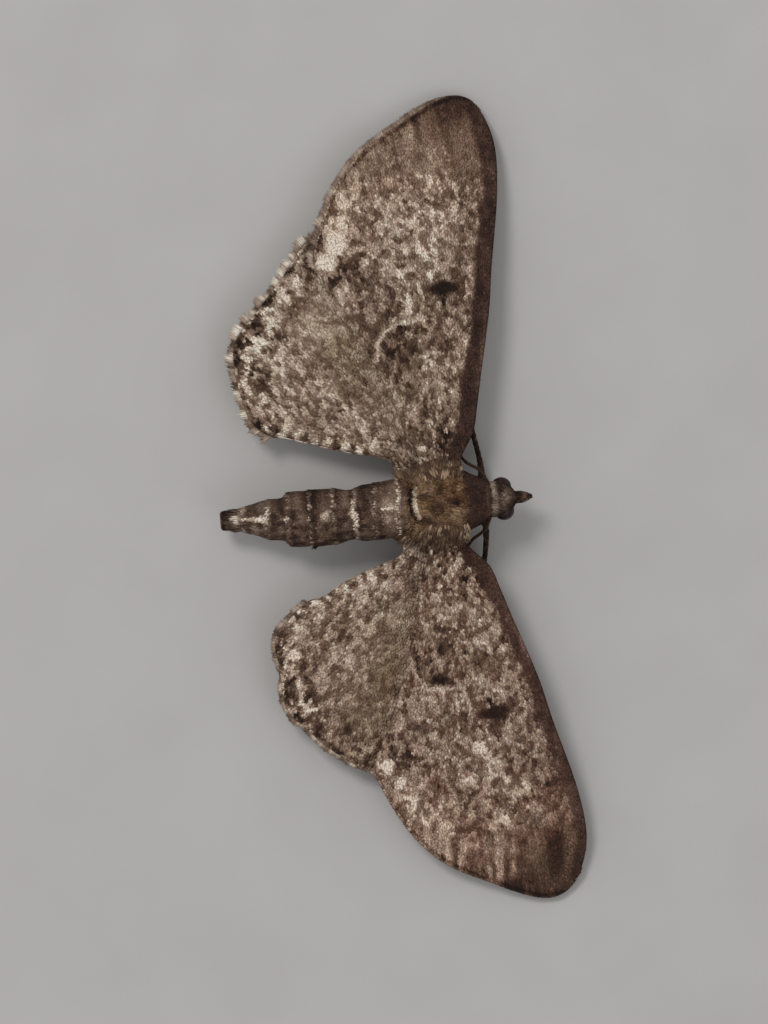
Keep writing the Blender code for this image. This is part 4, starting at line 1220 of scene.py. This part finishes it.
def body_coat(name, part, slot, low, high, dense, length, width, pitch, seed, hair=False, facing=-1.0, spread=9.0):
    """Scales over a stretch of the trunk, lying back along it."""
    rng = np.random.default_rng(seed)
    n = int((high - low) * 2 * math.pi * 0.95 * dense)
    f = low + (high - low) * rng.random(n)
    theta = 2 * math.pi * rng.random(n)
    w, h = np.interp(f, BODY[:, 0], BODY[:, 1]), np.interp(f, BODY[:, 0], BODY[:, 2])
    keep = rng.random(n) < np.hypot(w * np.sin(theta), h * np.cos(theta)) / 0.95
    f, theta = f[keep], theta[keep]
    _, l, z = body_point(f, theta)
    for ef, el, ez in EYE.values():
        clear = np.sqrt((f - ef) ** 2 + (l - el) ** 2 + (z - ez) ** 2) > EYE_RADIUS + 0.004
        f, theta, l, z = f[clear], theta[clear], l[clear], z[clear]
    h = 0.03
    _, l1, z1 = body_point(np.clip(f + facing * h, BODY[0, 0], BODY[-1, 0]), theta)
    df = np.full(f.shape, facing * h)
    along = scene_dirs(df, l1 - l, z1 - z)
    w, hh = np.interp(f, BODY[:, 0], BODY[:, 1]), np.interp(f, BODY[:, 0], BODY[:, 2])
    normal = scene_dirs(0.0 * f, np.cos(theta) / w, np.sin(theta) / hh)
    up = np.sin(theta)
    tone, tints = body_marks(f, l, z, up)
    tone = tone + (speckle(rng, f.size, 0.03, 0.03, 0.05) if part == "thorax" else speckle(rng, f.size, 0.05, 0.04, 0.08))
    rgb = colours(tone, tints, COAT_GAIN)
    size = length * rng.normal(1, 0.16, f.size)
    broad = width * rng.normal(1, 0.12, f.size)
    lean = np.full(f.shape, pitch)
    if part == "abdomen":       # scales stand a little at the hind edge of each ring and down the back
        for at in SEGMENT_EDGES[1:-1]:
            close = np.exp(-((f - at - 0.05) / 0.06) ** 2)
            lean = lean + 12.0 * spot(f, l, -3.42, -0.88, 0.05, 0.14) * (at == SEGMENT_EDGES[5]) * 4
            lean = lean + 3.0 * close + 12.0 * close * np.exp(-(np.abs(l + 0.08) / 0.16) ** 2) * (up > 0)
    if part == "thorax":        # shaggier at the sides and behind
        lean = lean + 8.0 * np.clip(noise(f, theta, 0.30, 4), 0, 1)
        size = size * (1 + 0.15 * step(-f, 0.1, 0.8))
    uv = np.stack([theta / (2 * math.pi), (f - low) / (high - low)], -1) * 0.97 + 0.015
    return scales(name, scene_points(f, l, z), along, normal, size, broad, rgb, uv, "body_scales", slot, seed + 1,
                  pitch=lean, spread=spread, hair=hair, bend=0.16)


def shoulder_tufts(seed):
    """Locks of long scales from the shoulders out over the roots of the wings, each lock lying its own way."""
    rng = np.random.default_rng(seed)
    locks, each = 170, 10
    rows = []
    for side, sign in SIDES:
        n = locks * each
        start = 0.52 - 1.25 * rng.random(locks)
        rear = rng.random(locks) < 0.30          # these fill the corner between abdomen and hindwing
        start = np.where(rear, -0.62 - 0.45 * rng.random(locks), start)
        f = np.repeat(start, each) + rng.normal(0, 0.030, n)
        high = np.where(rear, 4 + 26 * rng.random(locks), 6 + 46 * rng.random(locks))
        theta = np.repeat(np.radians(high), each) + rng.normal(0, 0.035, n)
        turn = np.repeat(np.radians(np.where(rear, rng.normal(52, 14, locks), rng.normal(12, 24, locks))), each)
        shade = np.repeat(rng.choice((-0.14, -0.06, 0.0, 0.08, 0.26), locks), each)
        reach = np.repeat(rng.uniform(0.16, 0.40, locks), each) * rng.normal(1, 0.10, n)
        _, l, z = body_point(f, theta)
        l = np.abs(l) * sign
        goal_f, goal_l = f - reach * np.sin(turn), l + sign * reach * np.cos(turn)
        goal = arch(goal_f, goal_l) + FORE_LIFT + 0.05
        drop = np.clip(goal - z, -0.5 * reach, 0.1)
        along = scene_dirs(goal_f - f, goal_l - l, drop)
        normal = scene_dirs(0.0 * f, sign * np.cos(theta), np.sin(theta) + 0.8)
        tone = 0.40 + shade + rng.normal(0, 0.025, n)
        u = 0.27 + 0.46 * (sign < 0) - 0.2 * (theta / 1.2) * sign
        rows.append((scene_points(f, l, z), along, normal, reach, rng.normal(0.054, 0.008, n), tone,
                     np.stack([np.clip(u, 0.01, 0.99), np.clip((f + 0.95) / 1.8, 0.01, 0.99)], -1)))
    at, along, normal, size, width, tone, uv = (np.concatenate(c) for c in zip(*rows))
    return scales("tufts_shoulders", at, along, normal, size, width,
                  colours(tone, {"golden": 0.8 + 0.0 * tone}, COAT_GAIN), uv, "body_scales",
                  "thorax_scales", seed + 1, pitch=3.0, spread=6.0, hair=True, bend=0.10)


def crest(seed):
    """The cream crest at the back of the thorax: a curved row of scales standing over the dark groove behind it."""
    rng = np.random.default_rng(seed)
    n = 330
    l = 0.06 + 0.41 * (2 * rng.random(n) - 1)
    f = -0.745 + 0.50 * (l - 0.10) ** 2 + 0.045 * rng.random(n) + 0.012 * noise(l, 0 * l, 0.13, 5)
    theta = np.arccos(np.clip((l - np.interp(f, BODY[:, 0], BODY[:, 4])) / np.interp(f, BODY[:, 0], BODY[:, 1]), -0.9, 0.9))
    _, ll, z = body_point(f, theta)
    _, l1, z1 = body_point(f - 0.03, theta)
    along = scene_dirs(np.full(n, -0.03), l1 - ll + 0.010 * l, z1 - z + 0.004)
    normal = scene_dirs(0.0 * f, np.cos(theta), np.sin(theta))
    tone = 0.84 - 1.6 * np.clip(np.abs(l - 0.06) - 0.30, 0, 1) + 0.08 * noise(l, f, 0.12, 6) + rng.normal(0, 0.06, n)
    uv = np.stack([theta / (2 * math.pi), (f + 0.95) / 1.8], -1) * 0.97 + 0.015
    return scales("crest_thorax", scene_points(f, ll, z + 0.036), along, normal, rng.normal(0.105, 0.020, n),
                  np.full(n, 0.040), colours(tone, {"warm": 0.3 + 0.0 * tone}, COAT_GAIN), uv, "body_scales",
                  "thorax_scales", seed + 1, pitch=7.0, spread=12.0, bend=0.10)


def brow(seed):
    """Scales over the blunt front of the head, lying down towards the palps."""
    rng = np.random.default_rng(seed)
    n = 150
    angle, share = 2 * math.pi * rng.random(n), 1.16 * np.sqrt(rng.random(n))
    end, w, h, zc, c = BODY[-1]
    l, z = c + w * share * np.cos(angle), zc + h * share * np.sin(angle) + 0.02
    f = end - 0.030 * share ** 2
    along = scene_dirs(np.full(n, 0.32), 0.8 * (l - c), np.full(n, -1.0))
    normal = scene_dirs(np.ones(n), 0.0 * l, np.full(n, 0.32))
    tone, tints = body_marks(np.full(n, 1.78), l, z, np.full(n, 0.9))
    tone = tone + rng.normal(0, 0.035, n)
    uv = np.stack([0.25 + 0.05 * (l - c), np.full(n, 0.96)], -1)
    return scales("scales_brow", scene_points(f, l, z), along, normal, rng.normal(0.075, 0.008, n), np.full(n, 0.042),
                  colours(tone, tints, COAT_GAIN), uv, "body_scales", "head_scales", seed + 1, pitch=6.0, spread=12.0)


def tip_brush(seed):
    """The brush of scales at the end of the abdomen, cut off square."""
    rng = np.random.default_rng(seed)
    n = 1900
    theta = 2 * math.pi * rng.random(n)
    f = -5.30 - 0.42 * rng.random(n)
    inner = 0.35 + 0.65 * rng.random(n)
    _, l, z = body_point(f, theta)
    cz, cl = np.interp(f, BODY[:, 0], BODY[:, 3]), np.interp(f, BODY[:, 0], BODY[:, 4])
    l, z = cl + (l - cl) * inner, cz + (z - cz) * inner
    size = np.clip(f + 5.86, 0.08, 0.24) * np.minimum(rng.normal(0.93, 0.05, n), 0.995)
    along = scene_dirs(-np.ones(n), 0.10 * np.cos(theta), 0.05 * np.sin(theta))
    normal = scene_dirs(0.0 * f, np.cos(theta), np.sin(theta))
    shown = f - size * 0.55
    tone, tints = body_marks(shown, l, z, np.sin(theta))
    # painted shade: the term in the distance from the brush's axis darkens its sides, as on the flanks of the abdomen
    tone = tone + rng.normal(0, 0.03, n) - 0.08 * step(np.abs(l - cl), 0.12, 0.22) - 0.24 * step(-shown, 5.68, 5.76)
    tone = tone + 0.26 * spot(shown, l - cl, -5.52, 0.02, 0.10, 0.13) * (np.sin(theta) > 0)
    uv = np.stack([theta / (2 * math.pi), inner], -1) * 0.97 + 0.015
    return scales("brush_abdomen_tip", scene_points(f, l, z), along, normal, size, np.full(n, 0.038),
                  colours(tone, tints, COAT_GAIN), uv, "body_scales", "abdomen_scales", seed + 1, pitch=2.0, spread=4.0,
                  hair=True, bend=0.03)


# ---------------------------------------------------------------- build
for side, sign in SIDES:
    base = 100 if side == "left" else 200
    membrane(side, sign, False)
    membrane(side, sign, True)
    wing_coat(side, sign, False, True, 0.0490, base)
    wing_coat(side, sign, True, True, 0.0490, base + 10)
    wing_coat(side, sign, False, False, 0.068, base + 20)
    wing_coat(side, sign, True, False, 0.068, base + 30)
    fringe(side, sign, False, base + 40)
    fringe(side, sign, True, base + 50)
    eye(side)

skin()
feelers = [feeler(side, sign) for side, sign in SIDES]
limb_coat("scales_feelers", feelers, "antenna", 300, 130, 0.055, 0.022,
          lambda t: 0.11 + 0.45 * np.exp(-((t - 0.022) / 0.02) ** 2) + 0.08 * (np.sin(t * 120) > 0.5), pitch=7.0)
legs = [leg_path(kind, sign) for _, sign in SIDES for kind in LEGS]
limb_coat("scales_legs", legs, "leg", 320, 250, 0.100, 0.040,
          lambda t: 0.17 + 0.26 * np.exp(-((t - 0.72) / 0.012) ** 2) + 0.20 * (step(t, 0.74, 0.76) * (np.cos(2 * math.pi * (t - 0.74) / 0.052) > 0.62)))
claws()
palp_lines = []
for knots in PALP_LINES:
    line = np.array(spline(knots, 8, closed=False))
    run = np.concatenate([[0], np.cumsum(np.linalg.norm(np.diff(line, axis=0), axis=1))])
    palp_lines.append((line, run, run / run[-1], np.interp(np.linspace(0, 4, len(line)), range(5), PALP_RADII)))
limb_coat("scales_palps", palp_lines, "head_scales", 340, 620, 0.105, 0.034,
          lambda t: 0.15 + 0.30 * np.exp(-((t - 0.66) / 0.12) ** 2), pitch=7.0)
body_coat("scales_abdomen", "abdomen", "abdomen_scales", -5.62, -0.90, 560, 0.100, 0.062, 4.0, 400)
body_coat("scales_thorax", "thorax", "thorax_scales", -0.95, 0.74, 800, 0.150, 0.080, 6.0, 420, spread=14.0)
body_coat("scales_collar", "collar", "thorax_scales", 0.66, 1.20, 900, 0.110, 0.050, 7.0, 440, spread=12.0)
body_coat("scales_head", "head", "head_scales", 1.12, 1.86, 760, 0.085, 0.045, 8.0, 460)
body_coat("scales_face", "head", "head_scales", 1.66, 1.848, 3200, 0.070, 0.040, 9.0, 470)
brow(475)
shoulder_tufts(480)
crest(490)
tip_brush(500)

# ---------------------------------------------------------------- floor, light, camera
bm = bmesh.new()
bmesh.ops.create_grid(bm, x_segments=8, y_segments=8, size=1.5)
mesh = bpy.data.meshes.new("floor")
bm.to_mesh(mesh)
bm.free()
mesh.materials.append(MATERIALS["floor"])
floor = bpy.data.objects.new("floor", mesh)
bpy.context.scene.collection.objects.link(floor)


def lamp(name, at, size, power, colour):
    data = bpy.data.lights.new(name, "AREA")
    data.shape = "DISK"
    data.size = size
    data.energy = power
    data.color = colour
    obj = bpy.data.objects.new(name, data)
    obj.location = at
    obj.rotation_mode = "QUATERNION"
    obj.rotation_quaternion = (-Vector(at)).to_track_quat("-Z", "Y")
    bpy.context.scene.collection.objects.link(obj)
    return obj


lamp("key", (0.14, 0.10, 0.24), 0.10, 0.30, (1.0, 0.985, 0.965))
lamp("fill", (-0.20, -0.16, 0.22), 0.20, 0.12, (0.96, 0.98, 1.0))
world = bpy.data.worlds.new("studio")
world.use_nodes = True
world.node_tree.nodes["Background"].inputs["Color"].default_value = (0.98, 0.985, 1.0, 1.0)
world.node_tree.nodes["Background"].inputs["Strength"].default_value = 0.50
bpy.context.scene.world = world
bpy.context.scene.view_settings.view_transform = "Standard"

TURN = math.radians(4.6)
VIEW_L, VIEW_F, VIEW_Z = -0.1061, -1.5996, 1.2       # what the middle of the picture looks at
PICTURE_HEIGHT, DISTANCE = 26.62, 250.0
data = bpy.data.cameras.new("camera")
data.type = "PERSP"
data.sensor_width = 36.0
data.lens = 36.0 * DISTANCE / PICTURE_HEIGHT
data.clip_start, data.clip_end = 0.01, 10.0
camera = bpy.data.objects.new("camera", data)
right = Vector((-math.sin(TURN), -math.cos(TURN), 0.0))
upward = Vector((math.cos(TURN), -math.sin(TURN), 0.0))
back = Vector((0.0, 0.0, 1.0))
place = Vector(((VIEW_L - CENTRE_L) * MM, -(VIEW_F - CENTRE_F) * MM, (VIEW_Z + DISTANCE) * MM))
turn = Matrix((right, upward, back)).transposed().to_4x4()
camera.matrix_world = Matrix.Translation(place) @ turn
bpy.context.scene.collection.objects.link(camera)
bpy.context.scene.camera = camera

bpy.context.view_layer.update()
